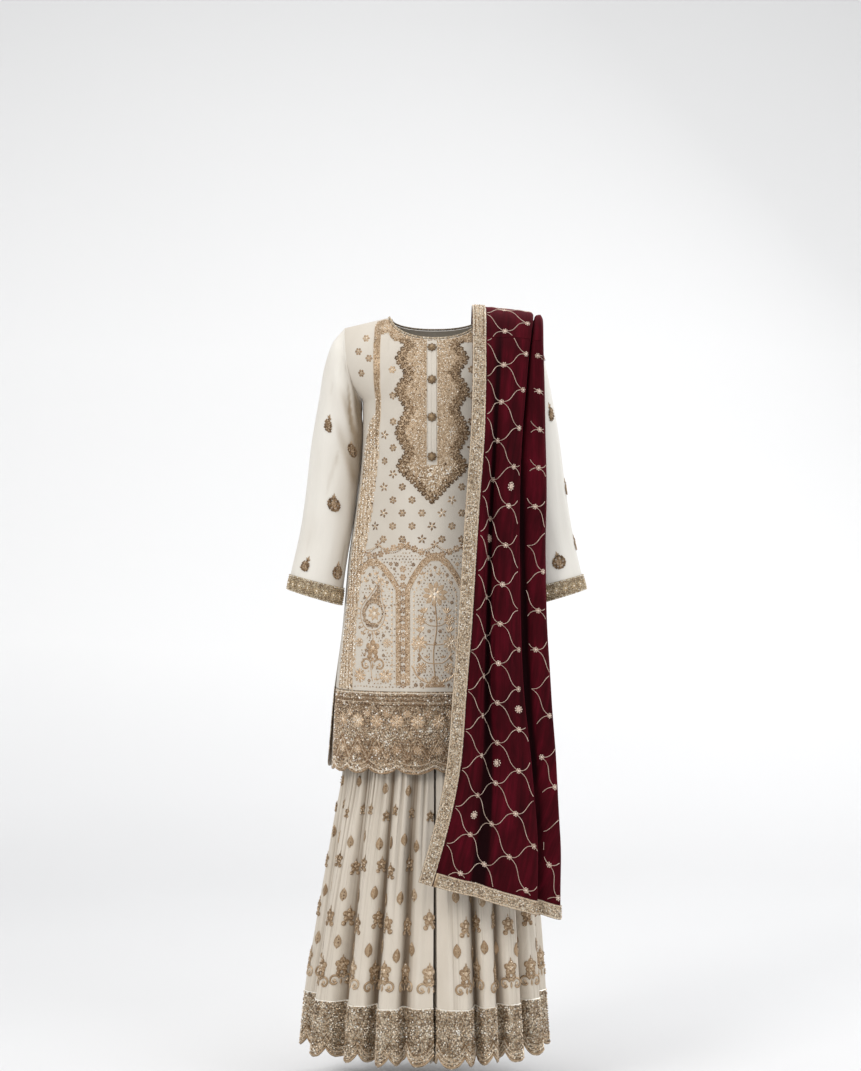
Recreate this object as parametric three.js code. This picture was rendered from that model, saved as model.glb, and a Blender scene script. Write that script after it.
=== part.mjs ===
// Sharara suit in its worn form: a straight long-sleeved kameez, a flared split sharara and a velvet dupatta over the left shoulder.
// Millimetres, +Z up, the front faces -Y. The origin is midway between the neck points of the shoulders, where the wearer holds the suit.
import * as THREE from "three";

// ---------------------------------------------------------------- sizes
const SEAM = 0.3; // gap between pieces that are sewn together
const KAMEEZ_WALL = 1.4;
const SLEEVE_WALL = 1.2;
const LEG_WALL = 1.4;
const BORDER_WALL = 1.8; // embroidered bands
const VELVET = 1.6;

const SHOULDER_TIP_X = 174;
const SHOULDER_TIP_Z = -19;
const NECK_HALF = 89;
const NECK_Z = 1;
const NECK_DROP_FRONT = 49;
const NECK_DROP_BACK = 21;
const UNDERARM_Z = -164;
const RIDGE_Y = 8; // the shoulder seam sits this far behind the side seam
const ARM_OPEN = 0.12; // how far the armhole edges open in front and behind
const SECTION_POWER = 2.3; // superellipse power of the body sections
const BAND_TOP_Z = -712; // top of the kameez hem border
const KAMEEZ_HEM_Z = -867;
const KAMEEZ_SCALLOP = 11;
const KAMEEZ_SCALLOPS = 10;
const SLIT_Z = -590; // side vents start here
const SLIT_HALF = 5;
const BACK_FLARE = 8; // the back panel stands wider than the front at the hem

const PLACKET_X = -6; // the opening sits a little to the wearer's right
const PLACKET_HALF = 8;
const PLACKET_TOP_Z = -55;
const PLACKET_END_Z = -280;
const BUTTON_R = 8.4;
const BUTTON_T = 3.5;
const BUTTON_Z = [-65, -127, -198, -272];
const BINDING = 5;

const WAIST_TOP_Z = -385;
const YOKE_TOP_Z = -425;
const CROTCH_Z = -680;
const LEG_BAND_Z = -1290;
const LEG_HEM_Z = -1395;
const LEG_SCALLOP = 18;
const LEG_SCALLOPS = 24;
const INNER_WAVE = 2.6; // the inner sides of the legs wave together by this many gaps, so nothing is seen between them
const CUFF_RINGS = 0.9; // the cuff border covers this many of the sleeve's last rings
const EDGE_BAND = 26; // width of the dupatta's border

const table = (columns, rows) =>
  rows.map((r) => Object.fromEntries(columns.map((c, i) => [c, r[i]])));

// Half width and half depths of the kameez at each height.
const KAMEEZ = table(
  ["z", "half", "front", "back"],
  [
    [-19, 174, 108, 98],
    [-60, 172, 108, 98],
    [-100, 167, 108, 98],
    [-130, 158, 108, 98],
    [-150, 147, 108, 98],
    [-164, 139.3, 108, 98],
    [-236, 140, 113, 96],
    [-313, 146, 110, 92],
    [-390, 156.4, 109, 93],
    [-467, 167, 112, 98],
    [-580, 177, 118, 108],
    [-712, 191, 126, 117],
    [-790, 196, 130, 121],
    [-867, 200, 134, 125],
  ],
);
const HIP = table(
  ["z", "half", "front", "back"],
  [
    [-385, 126, 88, 78],
    [-425, 130, 90, 80],
    [-500, 148, 98, 90],
    [-590, 161, 104, 100],
    [-680, 168, 108, 106],
  ],
);
// Each leg is a D in plan: a flat inner side near the centre and a rounded outer side, `gap` from the centre.
const LEG = table(
  ["z", "gap", "right", "left", "front", "back", "fold", "power"],
  [
    [-680, 1.5, 166.5, 166.5, 108, 106, 0, 1],
    [-770, 1.8, 168, 168, 109, 107, 2, 0.97],
    [-866, 2.2, 172, 172, 116, 111, 5, 0.94],
    [-980, 2.5, 188, 180, 138, 130, 10, 0.9],
    [-1100, 3, 205, 186, 158, 150, 15, 0.88],
    [-1200, 3.5, 218, 190, 172, 165, 20, 0.87],
    [-1290, 4, 230, 193, 184, 178, 24, 0.86],
    [-1395, 4, 238, 198, 194, 188, 27, 0.86],
  ],
);
// Pleats round the outer side of each leg, from the centre front (0) to the centre back (1), out is +1 and in is -1.
const PLEATS_RIGHT = table(
  ["at", "out"],
  [
    [0, 0.15], [0.03, 0.4], [0.061, -0.55], [0.08, 0.75], [0.112, 1], [0.137, -0.9], [0.165, 0.3],
    [0.2, 0.55], [0.257, -1], [0.285, 0.3], [0.336, 0.8], [0.4, -0.35], [0.47, 0.7], [0.535, -0.8],
    [0.59, 0.85], [0.63, 0.6], [0.67, -0.7], [0.73, 0.85], [0.79, -0.9], [0.85, 0.7], [0.9, -0.5],
    [0.95, 0.75], [1, 0.15],
  ],
);
const PLEATS_LEFT = table(
  ["at", "out"],
  [
    [0, 0.25], [0.028, 0.9], [0.075, 1], [0.101, -0.8], [0.125, 0.5], [0.155, 0.55], [0.187, -0.6],
    [0.215, 0.5], [0.255, 0.65], [0.295, -1], [0.325, 0.4], [0.365, 0.75], [0.42, -0.4], [0.48, 0.65],
    [0.55, -0.9], [0.62, 0.8], [0.68, -0.6], [0.74, 0.9], [0.8, -0.8], [0.86, 0.7], [0.91, -0.6],
    [0.955, 0.7], [1, 0.15],
  ],
);
// Sleeve rings below the armhole: outer edge, inner edge, half depth and centre depth.
const SLEEVE = table(
  ["ox", "oz", "ix", "iz", "deep", "y"],
  [
    [200, -52, 140.6, -181, 45, 2],
    [213, -96, 141.4, -206, 50, 0],
    [224, -158, 142.4, -241, 50, -2],
    [237, -236, 145.6, -291, 48, -4],
    [248, -332, 155.4, -371, 46, -8],
    [261, -419, 166, -446, 45, -13],
    [276, -490, 175.5, -516, 47, -18],
    [283, -523, 180.5, -554, 48, -20],
  ],
);
const LEFT_SLEEVE_OUT = 6; // the left cuff hangs this much further out

// The dupatta from its front end up over the left shoulder and down the back: both edges of its innermost layer,
// the way it faces (0 front, 90 up, 180 back), stack thickness, fold depth, where the top layer folds under (edge),
// where it folds back (turn), how high the outer layer at its right stands, and how deep the groove beside it is.
const DUPATTA = table(
  ["xl", "zl", "yl", "xr", "zr", "yr", "face", "stack", "fold", "edge", "turn", "crest", "groove", "belly"],
  [
    [-31, -1051, -199, 229, -1127, -178, 0, 30, 9, 0.84, 0.5, 0.5, 0.3, 0],
    [-9, -976, -192, 232, -1031, -164, 0, 30, 12, 0.82, 0.5, 0.55, 0.3, 0],
    [9, -905, -182, 229, -932, -146, 0, 29, 15, 0.8, 0.5, 0.65, 0.3, 0],
    [22, -833, -168, 225, -842, -128, 0, 28, 17, 0.77, 0.5, 0.75, 0.3, 0],
    [31, -724, -156, 216, -724, -112, 0, 27, 19, 0.73, 0.49, 0.85, 0.28, 4],
    [43, -577, -145, 208, -577, -98, 0, 27, 20, 0.7, 0.48, 0.92, 0.26, 6],
    [50, -465, -138, 206, -465, -90, 0, 26, 19, 0.69, 0.48, 0.95, 0.28, 8],
    [57, -354, -134, 208, -354, -84, 0, 25, 17, 0.67, 0.48, 0.95, 0.34, 8],
    [65, -243, -132, 206, -243, -78, 2, 24, 12, 0.69, 0.46, 0.95, 0.45, 8],
    [69, -130, -118, 205, -130, -72, 10, 21, 6, 0.76, 0.47, 0.95, 0.62, 4],
    [70, -62, -94, 204, -66, -64, 28, 18, 2.5, 0.82, 0.48, 0.95, 0.75, 2],
    [71, -16, -60, 205, -26, -46, 55, 16, 1, 0.86, 0.5, 0.95, 0.8, 2],
    [71, 6, 2, 206, -11, -2, 90, 16, 0.8, 0.87, 0.5, 0.95, 0.8, 3],
    [71, -12, 62, 205, -24, 44, 128, 16, 1, 0.86, 0.5, 0.95, 0.8, 2],
    [70, -60, 92, 204, -66, 66, 154, 18, 2.5, 0.82, 0.48, 0.95, 0.75, 2],
    [68, -130, 112, 205, -130, 78, 171, 20, 6, 0.76, 0.47, 0.95, 0.62, 4],
    [64, -243, 116, 206, -243, 84, 180, 23, 11, 0.69, 0.47, 0.95, 0.45, 8],
    [58, -354, 118, 208, -354, 88, 180, 24, 15, 0.67, 0.48, 0.95, 0.34, 8],
    [52, -465, 122, 208, -465, 92, 180, 25, 17, 0.7, 0.48, 0.95, 0.28, 8],
    [46, -577, 128, 210, -577, 98, 180, 26, 18, 0.72, 0.48, 0.9, 0.26, 6],
    [38, -724, 142, 214, -724, 110, 180, 27, 17, 0.75, 0.49, 0.85, 0.28, 4],
    [30, -850, 156, 219, -856, 126, 180, 28, 15, 0.78, 0.5, 0.75, 0.3, 0],
    [20, -975, 180, 224, -990, 150, 180, 29, 12, 0.81, 0.5, 0.6, 0.3, 0],
    [8, -1086, 198, 226, -1120, 170, 180, 30, 9, 0.83, 0.5, 0.5, 0.3, 0],
  ],
);
const FINE_ROWS = [9, 15]; // table rows over the shoulder with one more row after each
const DUPATTA_CUTS = [0, 12, 20, 31]; // rows where the front fall, the shoulder stretch and the back fall begin and end
// Stations across the cloth: position = mm + share of the width (one, edge, turn), height = stack, fold, crest and groove shares.
const STATIONS = table(
  ["mm", "one", "edge", "turn", "stack", "fold", "crest", "groove"],
  [
    [0, 0, 0, 0, 1, 0, 0, 0],
    [13, 0, 0, 0, 1, 0.2, 0, 0],
    [26, 0, 0, 0, 1, 0.35, 0, 0],
    [0, 0, 0.36, 0, 1, 0.2, 0, 0],
    [0, 0, 0.48, 0, 1, -1, 0, 0],
    [0, 0, 0.6, 0, 1, 0.2, 0, 0],
    [0, 0, 0.74, 0, 1, 0.6, 0, 0],
    [0, 0, 0.87, 0, 1, 0.35, 0, 0],
    [-2, 0, 1, 0, 0.97, 0, 0, 0],
    [0, 0, 1, 0, 0.8, 0, 0, 0],
    [-3, 0, 1, 0, 0.63, 0, 0, 0],
    [2, 0, 0, 1, 0.6, 0, 0, 0],
    [-2, 0, 0, 1, 0.45, 0, 0, 0],
    [2, 0, 0, 1, 0.3, 0, 0, 0],
    [3, 0, 1, 0, 0.28, 0, 0, 0],
    [6, 0, 1, 0, 0, 0, 0, 1],
    [1, 0.45, 0.55, 0, 0, 0, 0.9, 0],
    [1, 0.75, 0.25, 0, 0, 0, 1, 0],
    [-2, 1, 0, 0, 0, 0, 0.86, 0],
    [0, 1, 0, 0, 0.28, 0, 0, 0],
    [-4, 1, 0, 0, 0, 0, 0, 0],
    [0, 0.72, 0, 0, 0, 0, 0, 0],
  ],
);

// ---------------------------------------------------------------- curves through the tables
const v3 = (x, y, z) => new THREE.Vector3(x, y, z);
const clamp = (x, a, b) => Math.min(b, Math.max(a, x));

// A smooth value between table rows that never overshoots them.
function smooth(rows, key, column, x) {
  const up = rows[rows.length - 1][key] > rows[0][key] ? 1 : -1;
  const xs = rows.map((r) => r[key] * up);
  const ys = rows.map((r) => r[column]);
  const q = clamp(x * up, xs[0], xs[xs.length - 1]);
  let i = 0;
  while (i < xs.length - 2 && q > xs[i + 1]) i++;
  const slope = (k) => (ys[k + 1] - ys[k]) / (xs[k + 1] - xs[k]);
  const tangent = (k) => {
    if (k === 0) return slope(0);
    if (k === xs.length - 1) return slope(k - 1);
    const a = slope(k - 1);
    const b = slope(k);
    return a * b <= 0 ? 0 : (2 * a * b) / (a + b);
  };
  const h = xs[i + 1] - xs[i];
  const t = (q - xs[i]) / h;
  const t2 = t * t;
  const t3 = t2 * t;
  return (
    (2 * t3 - 3 * t2 + 1) * ys[i] +
    (t3 - 2 * t2 + t) * h * tangent(i) +
    (-2 * t3 + 3 * t2) * ys[i + 1] +
    (t3 - t2) * h * tangent(i + 1)
  );
}

const spow = (x, e) => Math.sign(x) * Math.abs(x) ** e;

// ---------------------------------------------------------------- walls
// A closed wall of cloth between two grids of points. Its quads are halved as the grid `base` says, so a wall that lies on another follows it.
function wall(outer, inner, ring, base = outer) {
  const rows = outer.length;
  const cols = outer[0].length;
  const position = [];
  for (const face of [outer, inner])
    for (const row of face) for (const p of row) position.push(p.x, p.y, p.z);
  const id = (face, j, i) => face * rows * cols + j * cols + (i % cols);
  const at = (k) => v3(position[3 * k], position[3 * k + 1], position[3 * k + 2]);
  const index = [];
  const quad = (a, b, c, d, first = true) => {
    if (first) index.push(a, b, c, a, c, d);
    else index.push(a, b, d, b, c, d);
  };
  const across = ring ? cols : cols - 1;
  for (let j = 0; j < rows - 1; j++)
    for (let i = 0; i < across; i++) {
      const next = (i + 1) % cols;
      const first = base[j][i].distanceTo(base[j + 1][next]) <= base[j][next].distanceTo(base[j + 1][i]);
      quad(id(0, j, i), id(0, j, next), id(0, j + 1, next), id(0, j + 1, i), first);
      quad(id(1, j, i), id(1, j + 1, i), id(1, j + 1, next), id(1, j, next), first);
    }
  for (let i = 0; i < across; i++) {
    quad(id(0, 0, i), id(1, 0, i), id(1, 0, i + 1), id(0, 0, i + 1));
    quad(id(0, rows - 1, i), id(0, rows - 1, i + 1), id(1, rows - 1, i + 1), id(1, rows - 1, i));
  }
  if (!ring)
    for (let j = 0; j < rows - 1; j++) {
      quad(id(0, j, 0), id(0, j + 1, 0), id(1, j + 1, 0), id(1, j, 0));
      quad(id(0, j, cols - 1), id(1, j, cols - 1), id(1, j + 1, cols - 1), id(0, j + 1, cols - 1));
    }
  let volume = 0;
  for (let k = 0; k < index.length; k += 3)
    volume += at(index[k]).dot(at(index[k + 1]).cross(at(index[k + 2]))) / 6;
  if (volume < 0)
    for (let k = 0; k < index.length; k += 3) [index[k + 1], index[k + 2]] = [index[k + 2], index[k + 1]];
  const geometry = new THREE.BufferGeometry();
  geometry.setAttribute("position", new THREE.Float32BufferAttribute(position, 3));
  geometry.setIndex(index);
  geometry.computeVertexNormals();
  return geometry;
}

// Unit normals of a grid, turned to the side that `away` says is out.
function normals(grid, ring, away) {
  const rows = grid.length;
  const cols = grid[0].length;
  return grid.map((row, j) =>
    row.map((p, i) => {
      const i0 = ring ? (i + cols - 1) % cols : Math.max(0, i - 1);
      const i1 = ring ? (i + 1) % cols : Math.min(cols - 1, i + 1);
      const a = grid[j][i1].clone().sub(grid[j][i0]);
      const b = grid[Math.min(rows - 1, j + 1)][i].clone().sub(grid[Math.max(0, j - 1)][i]);
      const n = a.cross(b).normalize();
      return away && away(p).dot(n) < 0 ? n.negate() : n;
    }),
  );
}

// The first and last rows of a tube or band are cut level.
const squareEnds = (n) => [n[0], n[n.length - 1]].forEach((row) => row.forEach((m) => { m.z = 0; m.normalize(); }));

const moved = (grid, n, by) => grid.map((row, j) => row.map((p, i) => p.clone().addScaledVector(n[j][i], by)));

function cloth(grid, thick, ring, away, out = 0, square = null) {
  const n = normals(grid, ring, away);
  if (square) square(n);
  return wall(moved(grid, n, out), moved(grid, n, out - thick), ring, grid);
}

// ---------------------------------------------------------------- kameez form
const halfAt = (z) => smooth(KAMEEZ, "z", "half", z);
const depthAt = (side, z) => smooth(KAMEEZ, "z", side < 0 ? "front" : "back", z);
const vent = (z) => clamp((SLIT_Z - z) / 120, 0, 1);

// Below the underarm: turn goes from the right-hand side seam (0) over the centre to the other side (PI). side is -1 in front, +1 behind.
function bodyPoint(side, turn, z) {
  const deep = depthAt(side, z);
  const half = halfAt(z) + (side > 0 ? BACK_FLARE * vent(z) * clamp((SLIT_Z - z) / 270, 0, 1) : 0);
  const e = 2 / SECTION_POWER;
  const edge = Math.asin(clamp((SLIT_HALF * vent(z)) / deep, 0, 1) ** (1 / e));
  const t = edge + (turn / Math.PI) * (Math.PI - 2 * edge);
  return v3(half * spow(Math.cos(t), e), side * (deep * Math.sin(t) ** e + SEAM / 2), z);
}

const neckZ = (side, x) =>
  NECK_Z - (side < 0 ? NECK_DROP_FRONT : NECK_DROP_BACK) * Math.sqrt(Math.max(0, 1 - (Math.abs(x) / NECK_HALF) ** 2.2));

// Above the underarm: rise goes from the underarm line (0) to the shoulder seam (1), or to the neckline where the neck is.
function yokePoint(side, turn, rise) {
  const e = 2 / SECTION_POWER;
  const s = spow(Math.cos(turn), e);
  const x = Math.abs(s) * SHOULDER_TIP_X;
  const top = NECK_Z + (SHOULDER_TIP_Z - NECK_Z) * clamp((x - NECK_HALF) / (SHOULDER_TIP_X - NECK_HALF), 0, 1);
  let full = 1;
  if (x < NECK_HALF) full = (Math.asin((neckZ(side, x) - UNDERARM_Z) / (top - UNDERARM_Z)) * 2) / Math.PI;
  const w = rise * full;
  const a = (w * Math.PI) / 2;
  const z = UNDERARM_Z + (top - UNDERARM_Z) * Math.sin(a);
  const k = 1 - ARM_OPEN * Math.sin(Math.PI * w);
  const across = Math.max(0, 1 - (Math.abs(s) * k) ** SECTION_POWER) ** (1 / SECTION_POWER);
  return v3(
    s * halfAt(z),
    RIDGE_Y * Math.sin(a) + side * (depthAt(side, UNDERARM_Z) * Math.cos(a) * across + SEAM / 2),
    z,
  );
}

const turnOf = (s) => Math.acos(spow(s, SECTION_POWER / 2));
const NECK_S = NECK_HALF / SHOULDER_TIP_X;
const PANEL_S = [1, 0.93, 0.82, 0.66, NECK_S, 0.492, 0.45, 0.36, 0.19, 0, -0.19, -0.36, -0.45, -0.492, -NECK_S, -0.66, -0.82, -0.93, -1];
const PANEL_Z = [-712, -620, -530, -440, -340, -240];
const RISES = [0, 1 / 6, 2 / 6, 3 / 6, 4 / 6, 5 / 6, 1];
const bodyAway = (p) => v3(p.x, p.y, Math.max(0, p.z + 120));

// Seam edges of a panel are cut square to the seam: down the sides, and along the shoulders.
const squareEdges = (n) =>
  n.forEach((row, j) =>
    row.forEach((m, i) => {
      const shoulder = j === n.length - 1 && Math.abs(PANEL_S[i]) >= NECK_S - 1e-6;
      if (i === 0 || i === row.length - 1 || shoulder) m.y = 0;
      if (j === 0) m.z = 0;
      m.normalize();
    }),
  );
const squareSides = (n) => {
  n.forEach((row) => [row[0], row[row.length - 1]].forEach((m) => { m.y = 0; m.normalize(); }));
  squareEnds(n);
};

const panelGrid = (side) => [
  ...PANEL_Z.map((z) => PANEL_S.map((s) => bodyPoint(side, turnOf(s), z))),
  ...RISES.map((r) => PANEL_S.map((s) => yokePoint(side, turnOf(s), r))),
];

// ---------------------------------------------------------------- pieces
const suit = new THREE.Group();
const finish = (color, roughness, metalness = 0) => new THREE.MeshStandardMaterial({ color, roughness, metalness });
const ivory = () => finish(0xe6dfd0, 0.85);
const gold = () => finish(0xb0966c, 0.45, 0.55);
const velvet = () => finish(0x4e0b1e, 0.9);
const put = (name, geometry, material) => {
  const mesh = new THREE.Mesh(geometry, material);
  mesh.name = name;
  suit.add(mesh);
  return mesh;
};

for (const [name, side] of [["front", -1], ["back", 1]]) {
  put("kameez_" + name, cloth(panelGrid(side), KAMEEZ_WALL, false, bodyAway, 0, squareEdges), ivory());
  const columns = KAMEEZ_SCALLOPS * 3;
  const hem = (i, top) => (top ? BAND_TOP_Z - SEAM : KAMEEZ_HEM_Z + (i % 3 === 0 ? KAMEEZ_SCALLOP : 0));
  const band = [true, false].map((top) =>
    Array.from({ length: columns + 1 }, (_, i) => bodyPoint(side, (Math.PI * i) / columns, hem(i, top))),
  );
  put("kameez_border_" + name, cloth(band, BORDER_WALL, false, bodyAway, 0, squareSides), gold());
}

// Neck binding: a narrow band that closes the raw edge all round the neckline, stepped as the panels are.
{
  const loop = [];
  const frame = [];
  const neck = PANEL_S.filter((q) => Math.abs(q) <= NECK_S + 1e-6);
  for (const side of [-1, 1]) {
    const steps = side < 0 ? neck.slice(0, -1) : [...neck].reverse().slice(0, -1);
    const edge = (k) => {
      const q = neck[clamp(k, 0, neck.length - 1)];
      return yokePoint(side, turnOf(q), 1);
    };
    for (const s of steps) {
      const k = neck.indexOf(s);
      const p = edge(k);
      const beside = edge(k + 1).sub(edge(k - 1));
      const up = p.clone().sub(yokePoint(side, turnOf(s), 0.97));
      const corner = k === 0 || k === neck.length - 1;
      if (corner) { up.set(-Math.sign(s), 0, 0.2); p.y = RIDGE_Y; }
      else up.addScaledVector(beside, -up.dot(beside) / beside.lengthSq());
      up.normalize();
      const n = corner ? v3(up.z * Math.sign(s), 0, Math.abs(up.x)) : beside.clone().cross(up).normalize();
      if (n.dot(v3(0, side, 1)) < 0) n.negate();
      loop.push(p);
      frame.push({ up, n });
    }
  }
  const ringOf = (up, out) => loop.map((p, i) => p.clone().addScaledVector(frame[i].up, up).addScaledVector(frame[i].n, out));
  const low = SEAM + 0.4;
  put("neck_binding", wall([ringOf(low, 0.5), ringOf(low + BINDING, 0.5)], [ringOf(low, -1.7), ringOf(low + BINDING, -1.7)], true), gold());
}

// Placket strip and its buttons on the centre front.
const frontAt = (x, z) => {
  if (z < UNDERARM_Z) return bodyPoint(-1, turnOf(x / halfAt(z)), z);
  const s = x / halfAt(z);
  const a = Math.asin((z - UNDERARM_Z) / (NECK_Z - UNDERARM_Z));
  const full = (Math.asin((neckZ(-1, x) - UNDERARM_Z) / (NECK_Z - UNDERARM_Z)) * 2) / Math.PI;
  return yokePoint(-1, turnOf(s), (2 * a) / Math.PI / full);
};
{
  const steps = 8;
  const strip = Array.from({ length: steps + 1 }, (_, j) => {
    const z = PLACKET_END_Z + ((PLACKET_TOP_Z - PLACKET_END_Z) * j) / steps;
    return [-PLACKET_HALF, 0, PLACKET_HALF].map((x) => frontAt(PLACKET_X + x, z));
  });
  put("placket_strip", cloth(strip, 1, false, bodyAway, 1 + 2 * SEAM + 0.3), ivory());
  BUTTON_Z.forEach((z, i) => {
    const p = frontAt(PLACKET_X, z);
    const n = frontAt(PLACKET_X + 1, z).sub(frontAt(PLACKET_X - 1, z)).cross(frontAt(PLACKET_X, z + 1).sub(frontAt(PLACKET_X, z - 1))).normalize();
    if (n.y > 0) n.negate();
    const geometry = new THREE.CylinderGeometry(BUTTON_R * 0.8, BUTTON_R, BUTTON_T, 10);
    const button = put("button_" + (i + 1), geometry, gold());
    button.quaternion.setFromUnitVectors(v3(0, 1, 0), n);
    button.position.copy(p.addScaledVector(n, 1 + 2 * SEAM + 0.7 + BUTTON_T / 2));
  });
}

// ---------------------------------------------------------------- sleeves
const SLEEVE_COLUMNS = 12;
// Around the arm: 0 at the shoulder tip, 0.25 in front, 0.5 at the underarm, 0.75 behind. Row 0 is the armhole itself.
function sleeveRing(hand, row) {
  const out = hand > 0 ? (LEFT_SLEEVE_OUT * row) / SLEEVE.length : 0;
  return Array.from({ length: SLEEVE_COLUMNS }, (_, i) => {
    const u = i / SLEEVE_COLUMNS;
    let p;
    if (row === 0) {
      const side = u <= 0.5 ? -1 : 1;
      p = yokePoint(side, 0, u <= 0.5 ? 1 - 2 * u : 2 * u - 1);
      if (i === 0 || i === SLEEVE_COLUMNS / 2) p.y = i === 0 ? RIDGE_Y : 0;
      p.x += 0.6;
    } else {
      const r = SLEEVE[row - 1];
      const c = Math.cos(2 * Math.PI * u);
      p = v3(
        (r.ox + r.ix) / 2 + (c * (r.ox - r.ix)) / 2,
        r.y - r.deep * Math.sin(2 * Math.PI * u),
        (r.oz + r.iz) / 2 + (c * (r.oz - r.iz)) / 2,
      );
    }
    p.x = hand * (p.x + out);
    return p;
  });
}
for (const [name, hand] of [["right", -1], ["left", 1]]) {
  const grid = Array.from({ length: SLEEVE.length + 1 }, (_, row) => sleeveRing(hand, row));
  const centre = (row) => row.reduce((a, p) => a.add(p), v3(0, 0, 0)).multiplyScalar(1 / row.length);
  const n = normals(grid, true);
  grid.forEach((row, j) => {
    const c = centre(row);
    row.forEach((p, i) => {
      if (n[j][i].dot(p.clone().sub(c)) < 0) n[j][i].negate();
      if (j === 0) { n[j][i].x = 0; n[j][i].normalize(); }
    });
  });
  put("sleeve_" + name, wall(grid, moved(grid, n, -SLEEVE_WALL), true), ivory());
  const last = SLEEVE.length;
  const high = grid[last].map((p, i) => p.clone().lerp(grid[last - 1][i], CUFF_RINGS));
  const cuff = [high, grid[last]];
  const cn = [n[last], n[last]];
  put("cuff_" + name, wall(moved(cuff, cn, SEAM + 0.1 + BORDER_WALL), moved(cuff, cn, SEAM + 0.1), true), gold());
}

// ---------------------------------------------------------------- sharara
const hipPoint = (t, z) => {
  const deep = smooth(HIP, "z", Math.sin(t) < 0 ? "front" : "back", z);
  return v3(smooth(HIP, "z", "half", z) * Math.cos(t), deep * Math.sin(t), z);
};
const flatAway = (p) => v3(p.x, p.y, 0);
{
  const columns = 24;
  const ring = (z) => Array.from({ length: columns }, (_, i) => hipPoint((2 * Math.PI * i) / columns, z));
  put("sharara_waistband", cloth([ring(WAIST_TOP_Z), ring(YOKE_TOP_Z + SEAM)], 2.4, true, flatAway, 0, squareEnds), ivory());
  put("sharara_yoke", cloth([-425, -500, -590, -680].map(ring), LEG_WALL, true, flatAway, 0, squareEnds), ivory());
}

// hand is -1 for the right leg and +1 for the left; at runs over the outer side (0 to 1), then back along the inner side (1 to 2).
function legPoint(hand, at, z) {
  const pleats = hand < 0 ? PLEATS_RIGHT : PLEATS_LEFT;
  const get = (column) => smooth(LEG, "z", column, z);
  const wide = get(hand < 0 ? "right" : "left");
  const power = get("power");
  const outer = (u) => {
    const t = Math.PI * u;
    const deep = Math.cos(t) > 0 ? get("front") : get("back");
    const p = v3(wide * Math.abs(Math.sin(t)) ** power, -deep * spow(Math.cos(t), power), 0);
    const way = v3(Math.max(0, p.x - wide * 0.3), p.y, 0).normalize();
    if (u <= 0.001 || u >= 0.999) way.set(0, Math.sign(p.y), 0);
    return p.addScaledVector(way, get("fold") * smooth(pleats, "at", "out", u));
  };
  let p;
  if (at <= 1) p = outer(at);
  else {
    p = outer(1).lerp(outer(0), at - 1);
    p.x = hand * INNER_WAVE * get("gap") * Math.sin(2 * Math.PI * (at - 1));
  }
  return v3(hand * (get("gap") + p.x), p.y, z);
}
const legAway = (hand) => (p) => v3(p.x - hand * 60, p.y * 0.8, 0);
const INNER_COLUMNS = 5;
for (const [name, hand, pleats] of [["right", -1, PLEATS_RIGHT], ["left", 1, PLEATS_LEFT]]) {
  const ats = [...pleats.map((r) => r.at), ...Array.from({ length: INNER_COLUMNS - 1 }, (_, i) => 1 + (i + 1) / INNER_COLUMNS)];
  const rows = [CROTCH_Z - SEAM, -770, -866, -980, -1100, -1200, LEG_BAND_Z];
  const grid = rows.map((z) => ats.map((a) => legPoint(hand, a, z)));
  put("sharara_leg_" + name, cloth(grid, LEG_WALL, true, legAway(hand), 0, squareEnds), ivory());
  // The border ring is stepped evenly by length so that its scallops are equal.
  const fine = Array.from({ length: 400 }, (_, i) => legPoint(hand, (2 * i) / 400, LEG_HEM_Z));
  const along = [0];
  for (let i = 1; i <= 400; i++) along.push(along[i - 1] + fine[i % 400].distanceTo(fine[i - 1]));
  const columns = LEG_SCALLOPS * 3;
  const even = Array.from({ length: columns }, (_, i) => {
    const want = (along[400] * i) / columns;
    let k = 0;
    while (k < 399 && along[k + 1] < want) k++;
    return (2 * (k + (want - along[k]) / (along[k + 1] - along[k]))) / 400;
  });
  const border = [
    even.map((a) => legPoint(hand, a, LEG_BAND_Z - SEAM)),
    even.map((a, i) => legPoint(hand, a, LEG_HEM_Z + (i % 3 === 0 ? LEG_SCALLOP : 0))),
  ];
  put("sharara_border_" + name, cloth(border, BORDER_WALL, true, legAway(hand), 0, squareEnds), gold());
}

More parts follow.
